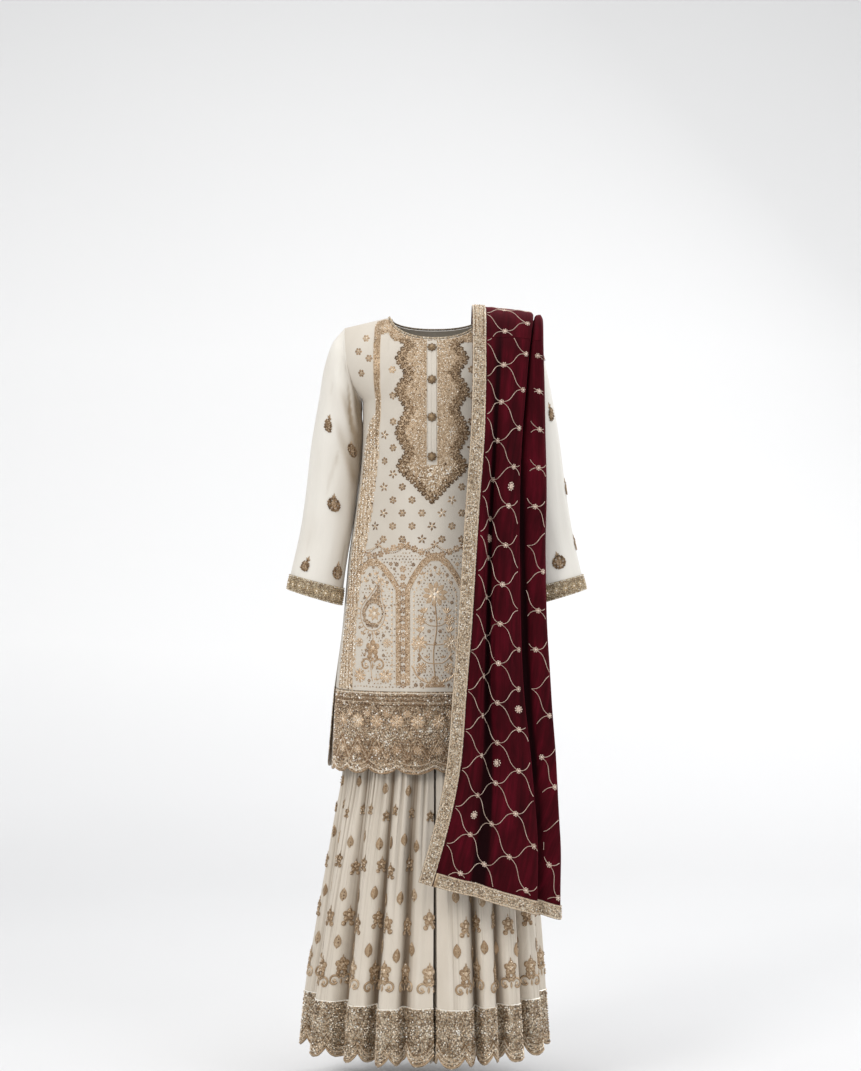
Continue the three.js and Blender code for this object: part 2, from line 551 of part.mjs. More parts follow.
// ---------------------------------------------------------------- dupatta
function dupattaRow(r) {
  const face = (r.face * Math.PI) / 180;
  const out = v3(0, -Math.cos(face), Math.sin(face));
  const left = v3(r.xl, r.yl, r.zl);
  const right = v3(r.xr, r.yr, r.zr);
  const width = left.distanceTo(right);
  return STATIONS.map((s) => {
    const a = clamp(s.mm / width + s.one + s.edge * r.edge + s.turn * r.turn, 0, 1);
    const b = s.stack * r.stack + s.fold * r.fold + s.crest * r.crest * r.stack + s.groove * r.groove * r.stack;
    return left.clone().lerp(right, a).addScaledVector(out, b + r.belly * 4 * a * (1 - a));
  });
}
{
  // Rows over the shoulder get one more between them, on a curve through their neighbours.
  const table_rows = DUPATTA.map(dupattaRow);
  const rows = table_rows.flatMap((row, j) => {
    if (j < FINE_ROWS[0] || j >= FINE_ROWS[1]) return [row];
    const mid = row.map((p, i) =>
      p.clone().add(table_rows[j + 1][i]).multiplyScalar(9 / 16).addScaledVector(table_rows[j - 1][i], -1 / 16).addScaledVector(table_rows[j + 2][i], -1 / 16),
    );
    return [row, mid];
  });
  // One more row where each end's border stops.
  const bandRow = (end, next) => end.map((p, i) => p.clone().lerp(next[i], EDGE_BAND / p.distanceTo(next[i])));
  const all = [
    rows[0],
    bandRow(rows[0], rows[1]),
    ...rows.slice(1, -1),
    bandRow(rows[rows.length - 1], rows[rows.length - 2]),
    rows[rows.length - 1],
  ];
  const n = normals(all, false);
  if (n[5][1].y > 0) n.forEach((row) => row.forEach((m) => m.negate()));
  // A stretch of the cloth between two rows, pulled back by half the seam gap where it meets the next one.
  const stretch = (from, to, c0, c1) => {
    const grid = all.slice(from, to + 1).map((row) => row.slice(c0, c1 + 1).map((p) => p.clone()));
    const nn = n.slice(from, to + 1).map((row) => row.slice(c0, c1 + 1));
    const pull = (j, k) => grid[j].forEach((p, i) => p.addScaledVector(grid[k][i].clone().sub(p).normalize(), SEAM / 2 + 0.05));
    if (DUPATTA_CUTS.slice(1, -1).includes(from)) pull(0, 1);
    if (DUPATTA_CUTS.slice(1, -1).includes(to)) pull(grid.length - 1, grid.length - 2);
    return [grid, nn];
  };
  const lay = (name, [grid, nn], out, thick, material) =>
    put(name, wall(moved(grid, nn, out), moved(grid, nn, out - thick), false, grid), material);
  const OVER = VELVET / 2 + 1.8 * SEAM + BORDER_WALL;
  ["front", "shoulder", "back"].forEach((name, k) => {
    const [from, to] = [DUPATTA_CUTS[k], DUPATTA_CUTS[k + 1]];
    lay("dupatta_" + name, stretch(from, to, 0, STATIONS.length - 1), VELVET / 2, VELVET, velvet());
    lay("dupatta_edge_" + name, stretch(from, to, 0, 2), OVER, BORDER_WALL, gold());
  });
  for (const [name, from] of [["front", 0], ["back", all.length - 2]]) {
    const [grid, nn] = stretch(from, from + 1, 2, STATIONS.length - 1);
    grid.forEach((row) => row[0].addScaledVector(row[1].clone().sub(row[0]).normalize(), SEAM));
    lay("dupatta_hem_" + name, [grid, nn], OVER, BORDER_WALL, gold());
  }
}

export default suit;
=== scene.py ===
"""Looks of the sharara suit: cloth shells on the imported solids' forms, with the embroidery as raised work on them.
Lengths in the tables are millimetres; meshes are written in metres."""

import bpy
import math
import numpy as np
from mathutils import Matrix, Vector


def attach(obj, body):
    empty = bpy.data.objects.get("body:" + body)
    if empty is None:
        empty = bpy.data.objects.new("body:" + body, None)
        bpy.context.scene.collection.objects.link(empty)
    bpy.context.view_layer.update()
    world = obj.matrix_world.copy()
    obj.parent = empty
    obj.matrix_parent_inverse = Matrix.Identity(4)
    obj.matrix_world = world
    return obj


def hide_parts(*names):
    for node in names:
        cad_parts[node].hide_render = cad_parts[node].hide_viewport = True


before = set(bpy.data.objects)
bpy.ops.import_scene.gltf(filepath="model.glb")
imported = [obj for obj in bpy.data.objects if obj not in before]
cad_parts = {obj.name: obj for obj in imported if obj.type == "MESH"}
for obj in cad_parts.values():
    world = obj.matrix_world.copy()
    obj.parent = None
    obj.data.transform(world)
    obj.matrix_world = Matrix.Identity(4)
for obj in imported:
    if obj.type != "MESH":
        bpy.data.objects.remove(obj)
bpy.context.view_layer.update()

# ------------------------------------------------------------------ camera, light, floor
scene = bpy.context.scene
FLOOR_Z = -1.48


def make_camera():
    data = bpy.data.cameras.new("camera")
    data.sensor_width = 36.0
    data.lens = 69.65
    data.clip_start, data.clip_end = 0.1, 60
    cam = bpy.data.objects.new("camera", data)
    cam.location = (-0.0087, -4.0, -0.42)
    cam.rotation_euler = (math.radians(90), 0, 0)
    scene.collection.objects.link(cam)
    scene.camera = cam


def area_light(name, at, to, size, watts, colour=(1, 1, 1)):
    data = bpy.data.lights.new(name, "AREA")
    data.shape = "RECTANGLE"
    data.size, data.size_y = size
    data.energy = watts
    data.color = colour
    o = bpy.data.objects.new(name, data)
    o.location = at
    o.rotation_euler = (Vector(to) - Vector(at)).to_track_quat("-Z", "Y").to_euler()
    scene.collection.objects.link(o)


make_camera()
area_light("key", (-2.6, -3.4, 2.4), (0, 0, -0.5), (1.6, 2.2), 95, (1, 0.985, 0.96))
area_light("fill", (3.2, -3.0, 1.0), (0, 0, -0.7), (2.4, 2.6), 42)
area_light("top", (0, 0.4, 3.2), (0, 0, -0.6), (3.0, 3.0), 60)
area_light("rim", (2.2, 2.0, 1.6), (0, 0, -0.5), (1.6, 2.0), 40)

world = bpy.data.worlds.new("studio")
scene.world = world
world.use_nodes = True
world.node_tree.nodes["Background"].inputs[0].default_value = (0.93, 0.94, 0.955, 1)
world.node_tree.nodes["Background"].inputs[1].default_value = 0.62
scene.view_settings.view_transform = "Standard"
scene.view_settings.look = "None"
scene.view_settings.exposure = 0.0


# ------------------------------------------------------------------ curves through tables
def curve(xs, ys, q):
    """A smooth value between table entries that never overshoots them."""
    xs, ys = np.asarray(xs, float), np.asarray(ys, float)
    if xs[-1] < xs[0]:
        xs, ys = xs[::-1], ys[::-1]
    q = np.clip(np.asarray(q, float), xs[0], xs[-1])
    d = np.diff(ys) / np.diff(xs)
    m = np.empty(len(xs))
    m[0], m[-1] = d[0], d[-1]
    same = d[:-1] * d[1:] > 0
    m[1:-1] = np.where(same, 2 * d[:-1] * d[1:] / np.where(same, d[:-1] + d[1:], 1), 0)
    i = np.clip(np.searchsorted(xs, q, side="right") - 1, 0, len(xs) - 2)
    h = xs[i + 1] - xs[i]
    t = (q - xs[i]) / h
    t2, t3 = t * t, t * t * t
    return (2 * t3 - 3 * t2 + 1) * ys[i] + (t3 - 2 * t2 + t) * h * m[i] + (-2 * t3 + 3 * t2) * ys[i + 1] + (t3 - t2) * h * m[i + 1]


def curve_grid(ts, stack, q):
    """The same curve through whole arrays: stack[k] belongs to ts[k]; one array for each q."""
    shape = stack.shape[1:]
    flat = stack.reshape(len(ts), -1)
    return np.stack([curve(ts, flat[:, k], q) for k in range(flat.shape[1])], 1).reshape(len(q), *shape)


def spow(x, e):
    return np.sign(x) * np.abs(x) ** e


def smooth01(x, a, b):
    t = np.clip((x - a) / (b - a), 0, 1)
    return t * t * (3 - 2 * t)


def wobble(seed, *axes):
    """A smooth even noise from a few waves, one per axis pair, between about -1 and 1."""
    r = np.random.default_rng(seed)
    total = 0
    for _ in range(5):
        total = total + np.sin(sum(a * r.uniform(0.6, 1.7) * r.choice([-1, 1]) for a in axes) + r.uniform(0, 6.28))
    return total / 3.2


# ------------------------------------------------------------------ mesh writing
def mesh_object(name, verts, faces, materials, tint=None, uv=None, which=None, sharp=50, body="root", fold=None):
    """One mesh from arrays: verts in mm, faces a list of index arrays of 3 or 4 columns, which the material of each array."""
    me = bpy.data.meshes.new(name)
    verts = np.asarray(verts, np.float64) * 0.001
    me.vertices.add(len(verts))
    me.vertices.foreach_set("co", verts.astype(np.float32).ravel())
    loops = np.concatenate([f.ravel() for f in faces]).astype(np.int32)
    sizes = np.concatenate([np.full(len(f), f.shape[1], np.int32) for f in faces])
    starts = np.concatenate([[0], np.cumsum(sizes)[:-1]]).astype(np.int32)
    me.loops.add(len(loops))
    me.loops.foreach_set("vertex_index", loops)
    me.polygons.add(len(sizes))
    me.polygons.foreach_set("loop_start", starts)
    if which is not None:
        me.polygons.foreach_set("material_index", np.concatenate([np.full(len(f), w, np.int32) for f, w in zip(faces, which)]))
    me.update(calc_edges=True)
    if uv is not None:
        layer = me.uv_layers.new(name="flat")
        layer.data.foreach_set("uv", np.asarray(uv, np.float32)[loops].ravel())
    if tint is not None:
        me.attributes.new("tint", "FLOAT", "POINT").data.foreach_set("value", np.asarray(tint, np.float32))
    # fold is painted shade per vertex: 0 for none, 1 for the full shade colour
    if fold is not None:
        me.attributes.new("fold", "FLOAT", "POINT").data.foreach_set("value", np.clip(np.asarray(fold, np.float32), 0, 1))
    me.polygons.foreach_set("use_smooth", np.ones(len(sizes), bool))
    if sharp:
        me.set_sharp_from_angle(angle=math.radians(sharp))
    for m in materials:
        me.materials.append(m)
    me.validate()
    o = bpy.data.objects.new(name, me)
    scene.collection.objects.link(o)
    if body:
        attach(o, body)
    return o


def grid_normals(P, ring):
    if ring:
        a = np.roll(P, -1, 1) - np.roll(P, 1, 1)
    else:
        a = np.gradient(P, axis=1)
    b = np.gradient(P, axis=0)
    n = np.cross(a, b)
    return n / np.maximum(np.linalg.norm(n, axis=2, keepdims=True), 1e-12)


def wall_faces(R, C, ring, flip):
    """Faces of a closed wall: outer grid, inner grid, rims. Vertices are outer rows first, then inner rows."""
    cols = C if ring else C - 1
    j, i = np.meshgrid(np.arange(R - 1), np.arange(cols), indexing="ij")
    k = (i + 1) % C
    a, b, c, d = j * C + i, j * C + k, (j + 1) * C + k, (j + 1) * C + i
    outer = np.stack([a, b, c, d], -1).reshape(-1, 4)
    inner = outer[:, ::-1] + R * C
    i = np.arange(cols)
    k = (i + 1) % C
    low = np.stack([i, i + R * C, k + R * C, k], -1)
    top = (R - 1) * C
    high = np.stack([top + i, top + k, top + k + R * C, top + i + R * C], -1)
    rims = [low, high]
    if not ring:
        j = np.arange(R - 1)
        rims.append(np.stack([j * C, (j + 1) * C, (j + 1) * C + R * C, j * C + R * C], -1))
        e = j * C + C - 1
        rims.append(np.stack([e, e + R * C, e + C + R * C, e + C], -1))
    rims = np.concatenate(rims)
    parts = [outer, inner, rims]
    return [p[:, ::-1] for p in parts] if flip else parts


def hollow(P, N, ring, reach):
    """How far each point lies below the mean of its neighbours along the row, in mm."""
    C = P.shape[1]
    total = np.zeros_like(P)
    for k in range(-reach, reach + 1):
        i = np.arange(C) + k
        total += P[:, i % C if ring else np.clip(i, 0, C - 1)]
    return np.einsum("ijk,ijk->ij", total / (2 * reach + 1) - P, N)


def outward(P, N, away):
    """Normals turned to the side that away, a direction for each point, says is out."""
    if np.einsum("ijk,ijk->", N, away) < 0:
        return -N, True
    return N, False


class Grid:
    """A cloth surface as a dense grid of outer points, with normals and lengths along its rows."""

    def __init__(self, P, ring, away):
        self.P, self.ring = P, ring
        self.N, self.flip = outward(P, grid_normals(P, ring), away)
        self.R, self.C = P.shape[:2]
        Q = np.concatenate([P, P[:, :1]], 1) if ring else P
        step = np.linalg.norm(np.diff(Q, axis=1), axis=2)
        self.A = np.concatenate([np.zeros((self.R, 1)), np.cumsum(step, 1)], 1)
        self.W = self.A[:, -1]
        self.K = 900
        q = np.linspace(0, 1, self.K + 1)
        self.inv = np.stack([np.interp(q * w, a, np.arange(len(a))) for w, a in zip(self.W, self.A)])
        dl = np.linalg.norm(np.diff(P, axis=0), axis=2)
        self.L = np.concatenate([np.zeros((1, self.C)), np.cumsum(dl, 0)], 0)

    def pick(self, table, r, c):
        """Bilinear value of a (rows, columns) table at fractional r, c."""
        cols = table.shape[1]
        r = np.clip(r, 0, table.shape[0] - 1.0001)
        r0 = r.astype(int)
        fr = r - r0
        if self.ring and cols == self.C:
            c = np.mod(c, self.C)
            c0 = c.astype(int) % self.C
            c1 = (c0 + 1) % self.C
            fc = c - np.floor(c)
        else:
            c = np.clip(c, 0, cols - 1.0001)
            c0 = c.astype(int)
            c1 = c0 + 1
            fc = c - c0
        if table.ndim == 3:
            fr, fc = fr[:, None], fc[:, None]
        return (table[r0, c0] * (1 - fc) + table[r0, c1] * fc) * (1 - fr) + (table[r0 + 1, c0] * (1 - fc) + table[r0 + 1, c1] * fc) * fr

    def column(self, r, x):
        """The column at length x along fractional row r."""
        w = np.interp(r, np.arange(self.R), self.W)
        q = x / w
        q = np.mod(q, 1.0) if self.ring else np.clip(q, 0, 1)
        return self.pick2(self.inv, r, q * self.K)

    @staticmethod
    def pick2(table, r, c):
        r = np.clip(r, 0, table.shape[0] - 1.0001)
        c = np.clip(c, 0, table.shape[1] - 1.0001)
        r0, c0 = r.astype(int), c.astype(int)
        fr, fc = r - r0, c - c0
        return (table[r0, c0] * (1 - fc) + table[r0, c0 + 1] * fc) * (1 - fr) + (table[r0 + 1, c0] * (1 - fc) + table[r0 + 1, c0 + 1] * fc) * fr

    def along(self, r, c):
        """Length along row r up to column c."""
        return self.pick2(self.A, r, c)

    def at(self, r, c):
        p = self.pick(self.P, r, c)
        n = self.pick(self.N, r, c)
        return p, n / np.maximum(np.linalg.norm(n, axis=1, keepdims=True), 1e-12)

    def uv(self):
        A = self.A[:, : self.C]
        return np.stack([A, self.L], -1).reshape(-1, 2) * 0.001

    def shell(self, name, thick, material, out=0.0, back=None, sharp=50, fold=None):
        """The cloth as a closed thin wall whose outer face is this grid; fold, when given, is painted shade that
        darkens it towards the material's shade colour.
        """
        outer = (self.P + self.N * out).reshape(-1, 3)
        inner = (self.P + self.N * (out - thick)).reshape(-1, 3)
        uv = self.uv()
        parts = wall_faces(self.R, self.C, self.ring, self.flip)
        mats = [material] if back is None else [material, back]
        which = [0, 0 if back is None else 1, 0]
        return mesh_object(name, np.concatenate([outer, inner]), parts, mats, uv=np.concatenate([uv, uv]), which=which, sharp=sharp,
                           fold=None if fold is None else np.concatenate([fold.ravel(), fold.ravel()]))


class Bag:
    """Vertices, faces and tints gathered for one mesh of raised work."""

    def __init__(self):
        self.v, self.f, self.t, self.n = [], [], [], 0

    def add(self, verts, faces, tint):
        self.v.append(verts)
        self.f.append(faces + self.n)
        self.t.append(np.broadcast_to(np.asarray(tint, float), (len(verts),)))
        self.n += len(verts)

    def build(self, name, material, sharp=35):
        tris = [f for f in self.f if f.shape[1] == 3]
        quads = [f for f in self.f if f.shape[1] == 4]
        faces = [np.concatenate(x) for x in (tris, quads) if x]
        return mesh_object(name, np.concatenate(self.v), faces, [material], tint=np.concatenate(self.t), sharp=sharp)


# ------------------------------------------------------------------ raised work
BEAD_F = np.array([[0, 1, 4], [1, 2, 4], [2, 3, 4], [3, 0, 4], [0, 3, 2], [0, 2, 1]])


def frames(N):
    up = np.where(np.abs(N[:, 2:3]) > 0.9, [[0.0, 1.0, 0.0]], [[0.0, 0.0, 1.0]])
    a = np.cross(up, N)
    a /= np.linalg.norm(a, axis=1, keepdims=True)
    return a, np.cross(N, a)


def beads(bag, P, N, r, tint, rng, flat=0.62, tilt=0.35):
    """A small faceted bead or sequin at each point, half sunk in the cloth, each turned its own way."""
    n = len(P)
    if n == 0:
        return
    r = np.broadcast_to(r, (n,))[:, None]
    m = N + rng.normal(0, tilt, (n, 3)) * 0.6
    m /= np.linalg.norm(m, axis=1, keepdims=True)
    a, b = frames(m)
    spin = rng.uniform(0, 2 * np.pi, n)[:, None]
    ca, sa = np.cos(spin), np.sin(spin)
    u, w = a * ca + b * sa, -a * sa + b * ca
    c = P + N * r * 0.1
    V = np.stack([c + u * r, c + w * r, c - u * r, c - w * r, c + m * r * flat * 1.5], 1)
    F = (BEAD_F[None] + (np.arange(n) * 5)[:, None, None]).reshape(-1, 3)
    bag.add(V.reshape(-1, 3), F, np.repeat(np.broadcast_to(tint, (n,)), 5))


def leaf(x, y, length, width, angle, n=4, high=0.9, tint=0.5, bend=0.0):
    """A closed lens-shaped stitch patch from (x, y) along angle: verts (x, y, h), faces, tints."""
    t = np.linspace(0, 1, n + 1)
    w = width / 2 * np.sin(np.pi * t**0.85) ** 0.8
    w[0] = w[-1] = width * 0.03
    cx, cy = t * length, bend * length * np.sin(np.pi * t * 0.5) ** 2
    ca, sa = math.cos(angle), math.sin(angle)
    rows = []
    for off, h in ((-1, -0.25), (0, high), (1, -0.25)):
        px, py = cx, cy + off * w
        hh = np.full(n + 1, h)
        if off == 0:
            hh[[0, -1]] = high * 0.35
        rows.append(np.stack([x + px * ca - py * sa, y + px * sa + py * ca, hh], 1))
    V = np.concatenate(rows)
    m = n + 1
    i = np.arange(n)
    F = np.concatenate([
        np.stack([i, i + 1, m + i + 1, m + i], 1),
        np.stack([m + i, m + i + 1, 2 * m + i + 1, 2 * m + i], 1),
        np.stack([2 * m + i, 2 * m + i + 1, i + 1, i], 1),
    ])
    tri = np.array([[0, m, 2 * m], [n, 2 * m + n, m + n]])
    T = np.concatenate([np.concatenate([F[:, [0, 1, 2]], F[:, [0, 2, 3]]]), tri])
    tints = np.full(len(V), tint)
    # painted highlight: the raised middle row of each stitch is lighter
    tints[m : 2 * m] += 0.12
    return V, T, tints


def dome(x, y, r, sides=6, high=1.1, tint=0.7):
    a = np.arange(sides) * 2 * np.pi / sides
    ring = np.stack([x + r * np.cos(a), y + r * np.sin(a), np.full(sides, -0.25)], 1)
    V = np.concatenate([ring, [[x, y, high]], [[x, y, -0.3]]])
    i = np.arange(sides)
    k = (i + 1) % sides
    T = np.concatenate([np.stack([i, k, np.full(sides, sides)], 1), np.stack([k, i, np.full(sides, sides + 1)], 1)])
    t = np.full(len(V), tint)
    # painted highlight on the crown of the dome
    t[sides] += 0.15
    return V, T, t


def cord_line(points, width, high=0.8, tint=0.5, closed=False):
    """A raised cord along 2-D points: a closed three-sided strip."""
    p = np.asarray(points, float)
    d = np.gradient(p, axis=0)
    if closed:
        d = np.roll(p, -1, 0) - np.roll(p, 1, 0)
    d /= np.maximum(np.linalg.norm(d, axis=1, keepdims=True), 1e-9)
    s = np.stack([d[:, 1], -d[:, 0]], 1) * width / 2
    n = len(p)
    V = np.concatenate([np.c_[p + s, np.full(n, -0.25)], np.c_[p, np.full(n, high)], np.c_[p - s, np.full(n, -0.25)]])
    i = np.arange(n if closed else n - 1)
    k = (i + 1) % n
    F = np.concatenate([np.stack([i, k, n + k, n + i], 1), np.stack([n + i, n + k, 2 * n + k, 2 * n + i], 1), np.stack([2 * n + i, 2 * n + k, k, i], 1)])
    T = np.concatenate([F[:, [0, 1, 2]], F[:, [0, 2, 3]]])
    if not closed:
        T = np.concatenate([T, [[0, n, 2 * n], [n - 1, 3 * n - 1, 2 * n - 1]]])
    t = np.full(3 * n, tint)
    # painted highlight along the crest of the cord
    t[n : 2 * n] += 0.1
    return V, T, t


class Stencil:
    """A motif drawn in its own plane, mm, from leaves, domes and cords, with bead places."""

    def __init__(self):
        self.V, self.T, self.t, self.n = [], [], [], 0
        self.b = []

    def put(self, part):
        V, T, t = part
        self.V.append(V)
        self.T.append(T + self.n)
        self.t.append(t)
        self.n += len(V)
        return self

    def leaf(self, *a, **k):
        return self.put(leaf(*a, **k))

    def dome(self, *a, **k):
        return self.put(dome(*a, **k))

    def cord(self, *a, **k):
        return self.put(cord_line(*a, **k))

    def bead(self, x, y, r=1.3, tint=0.8):
        self.b.append((x, y, r, tint))
        return self

    def flower(self, x, y, r, petals, tint=0.45, turn=0.0, core=0.34, n=3, fat=1.0):
        for k in range(petals):
            a = turn + 2 * math.pi * k / petals
            self.leaf(x + r * core * 0.6 * math.cos(a), y + r * core * 0.6 * math.sin(a), r * (1 - core * 0.6), r * 1.9 * fat / petals * 1.7, a, n=n, high=0.75, tint=tint)
        self.dome(x, y, r * core, sides=6, high=1.3, tint=0.75)
        return self

    def arrays(self):
        return np.concatenate(self.V), np.concatenate(self.T), np.concatenate(self.t)


def stamp(bag, stencil, places, mapper, rng, jitter=0.06):
    """Copies of a stencil at places (ref_x, ref_y, turn, scale, mirror); mapper gives points and normals for offsets."""
    if not len(places):
        return
    pl = np.asarray(places, float)
    ca, sa = np.cos(pl[:, 2]), np.sin(pl[:, 2])

    def spread(x, y):
        x = x[None, :] * pl[:, 3:4] * pl[:, 4:5]
        y = y[None, :] * pl[:, 3:4]
        return (x * ca[:, None] - y * sa[:, None]).ravel(), (x * sa[:, None] + y * ca[:, None]).ravel()

    k = len(pl)
    tone = rng.normal(0, jitter, k)
    if stencil.V:
        V, T, t = stencil.arrays()
        m = len(V)
        dx, dy = spread(V[:, 0], V[:, 1])
        P, N = mapper(np.repeat(pl[:, 0], m), np.repeat(pl[:, 1], m), dx, dy)
        h = np.tile(V[:, 2], k)
        faces = (T[None] + (np.arange(k) * m)[:, None, None]).reshape(-1, 3)
        mirrored = np.repeat(pl[:, 4] < 0, len(T))
        faces[mirrored] = faces[mirrored][:, ::-1]
        bag.add(P + N * h[:, None], faces, np.tile(t, k) + np.repeat(tone, m))
    if stencil.b:
        b = np.array(stencil.b)
        dx, dy = spread(b[:, 0], b[:, 1])
        P, N = mapper(np.repeat(pl[:, 0], len(b)), np.repeat(pl[:, 1], len(b)), dx, dy)
        beads(bag, P + N * 0.4, N, np.tile(b[:, 2], k), np.tile(b[:, 3], k) + rng.normal(0, 0.12, len(b) * k), rng)


# ------------------------------------------------------------------ materials
def nodes_of(name):
    mat = bpy.data.materials.new(name)
    mat.use_nodes = True
    nt = mat.node_tree
    return mat, nt, nt.nodes["Principled BSDF"]


def ramp(nt, stops, source, interpolation="LINEAR"):
    node = nt.nodes.new("ShaderNodeValToRGB")
    cr = node.color_ramp
    cr.interpolation = interpolation
    while len(cr.elements) < len(stops):
        cr.elements.new(0.5)
    for e, (at, col) in zip(cr.elements, stops):
        e.position = at
        e.color = (*col, 1)
    nt.links.new(source, node.inputs[0])
    return node.outputs[0]


def noise(nt, vector, scale, detail=2.0, rough=0.5):
    node = nt.nodes.new("ShaderNodeTexNoise")
    node.inputs["Scale"].default_value = scale
    node.inputs["Detail"].default_value = detail
    node.inputs["Roughness"].default_value = rough
    nt.links.new(vector, node.inputs["Vector"])
    return node.outputs["Fac"]


def mapped(nt, source, scale=(1, 1, 1)):
    node = nt.nodes.new("ShaderNodeMapping")
    node.inputs["Scale"].default_value = scale
    nt.links.new(source, node.inputs["Vector"])
    return node.outputs[0]


def coords(nt, kind):
    return nt.nodes.new("ShaderNodeTexCoord").outputs[kind]


def math_node(nt, op, a, b=None):
    node = nt.nodes.new("ShaderNodeMath")
    node.operation = op
    for i, x in enumerate((a, b)):
        if x is None:
            continue
        if isinstance(x, (int, float)):
            node.inputs[i].default_value = x
        else:
            nt.links.new(x, node.inputs[i])
    return node.outputs[0]


def mix(nt, a, b, fac, blend="MIX"):
    node = nt.nodes.new("ShaderNodeMix")
    node.data_type = "RGBA"
    node.blend_type = blend
    for i, x in ((0, fac), (6, a), (7, b)):
        if isinstance(x, (int, float)):
            node.inputs[i].default_value = x
        elif isinstance(x, tuple):
            node.inputs[i].default_value = (*x, 1)
        else:
            nt.links.new(x, node.inputs[i])
    return node.outputs[2]


def bump(nt, height, strength, distance, normal=None):
    node = nt.nodes.new("ShaderNodeBump")
    node.inputs["Strength"].default_value = strength
    node.inputs["Distance"].default_value = distance
    nt.links.new(height, node.inputs["Height"])
    if normal is not None:
        nt.links.new(normal, node.inputs["Normal"])
    return node.outputs[0]


def weave(nt, vector, pitch):
    """Height of a plain weave of that pitch in metres, from flat cloth coordinates."""
    k = 2 * math.pi / pitch
    sep = nt.nodes.new("ShaderNodeSeparateXYZ")
    nt.links.new(vector, sep.inputs[0])
    sx = math_node(nt, "SINE", math_node(nt, "MULTIPLY", sep.outputs[0], k))
    sy = math_node(nt, "SINE", math_node(nt, "MULTIPLY", sep.outputs[1], k))
    return math_node(nt, "MULTIPLY", sx, sy), sep


def folded(nt, tone, deep):
    """The tone with painted shade: mixed towards the deep colour by the fold attribute."""
    att = nt.nodes.new("ShaderNodeAttribute")
    att.attribute_name = "fold"
    return mix(nt, tone, deep, att.outputs["Fac"])


def organza(name, base, shade, slub=220.0, crinkle=0.0, rough=0.62, sheen=0.25, deep=(0.3, 0.24, 0.17)):
    """Thin ivory silk-like cloth: plain weave, slubs along the threads, faint mottled tone, and painted shade towards
    deep where the fold attribute is set.
    """
    mat, nt, bsdf = nodes_of(name)
    uv = coords(nt, "UV")
    w, _ = weave(nt, uv, 0.0011)
    threads = noise(nt, mapped(nt, uv, (slub * 4, slub * 0.12, 1)), 1.0, 3.0, 0.6)
    cloud = noise(nt, mapped(nt, uv, (9, 5, 1)), 1.0, 3.0, 0.55)
    tone = ramp(nt, [(0.3, shade), (0.7, base)], cloud)
    tone = mix(nt, tone, tuple(x * 0.9 for x in base), ramp(nt, [(0.42, (0, 0, 0)), (0.75, (0.5, 0.5, 0.5))], threads))
    nt.links.new(folded(nt, tone, deep), bsdf.inputs["Base Color"])
    h = bump(nt, w, 0.25, 0.00018)
    h = bump(nt, threads, 0.35, 0.0006 + crinkle, h)
    nt.links.new(h, bsdf.inputs["Normal"])
    bsdf.inputs["Roughness"].default_value = rough
    bsdf.inputs["Sheen Weight"].default_value = sheen
    bsdf.inputs["Sheen Roughness"].default_value = 0.35
    bsdf.inputs["Sheen Tint"].default_value = (1, 0.98, 0.94, 1)
    bsdf.inputs["Specular IOR Level"].default_value = 0.35
    return mat


def gold_cloth(name, dark, mid, light, cell=330.0, metal=0.35):
    """Densely worked ground: a grain of gold threads, bronze gaps and pale sequins."""
    mat, nt, bsdf = nodes_of(name)
    uv = coords(nt, "UV")
    cells = nt.nodes.new("ShaderNodeTexVoronoi")
    cells.inputs["Scale"].default_value = cell
    nt.links.new(uv, cells.inputs["Vector"])
    grain = nt.nodes.new("ShaderNodeTexVoronoi")
    grain.feature = "DISTANCE_TO_EDGE"
    grain.inputs["Scale"].default_value = cell
    nt.links.new(uv, grain.inputs["Vector"])
    pick = nt.nodes.new("ShaderNodeSeparateColor")
    nt.links.new(cells.outputs["Color"], pick.inputs[0])
    patch = noise(nt, mapped(nt, uv, (26, 26, 1)), 1.0, 2.0, 0.5)
    value = math_node(nt, "ADD", math_node(nt, "MULTIPLY", pick.outputs[0], 0.72), math_node(nt, "MULTIPLY", patch, 0.3))
    tone = ramp(nt, [(0.12, dark), (0.45, mid), (0.8, light), (0.97, tuple(min(1, x * 1.5 + 0.1) for x in light))], value)
    edge = ramp(nt, [(0.02, (0.45, 0.45, 0.45)), (0.25, (1, 1, 1))], grain.outputs["Distance"])
    tone = mix(nt, tone, edge, 1.0, "MULTIPLY")
    nt.links.new(tone, bsdf.inputs["Base Color"])
    h = bump(nt, math_node(nt, "ADD", grain.outputs["Distance"], pick.outputs[1]), 0.8, 0.0009)
    nt.links.new(h, bsdf.inputs["Normal"])
    bsdf.inputs["Metallic"].default_value = metal
    bsdf.inputs["Roughness"].default_value = 0.42
    return mat


def thread(name, stops, metal, rough):
    """Raised work: each stitch, bead and sequin takes its tone from its own tint."""
    mat, nt, bsdf = nodes_of(name)
    att = nt.nodes.new("ShaderNodeAttribute")
    att.attribute_name = "tint"
    obj = coords(nt, "Object")
    fine = noise(nt, obj, 900.0, 2.0, 0.6)
    value = math_node(nt, "ADD", att.outputs["Fac"], math_node(nt, "MULTIPLY", math_node(nt, "SUBTRACT", fine, 0.5), 0.5))
    nt.links.new(ramp(nt, stops, value), bsdf.inputs["Base Color"])
    nt.links.new(bump(nt, noise(nt, obj, 1600.0, 1.0), 0.5, 0.0004), bsdf.inputs["Normal"])
    bsdf.inputs["Metallic"].default_value = metal
    bsdf.inputs["Roughness"].default_value = rough
    return mat


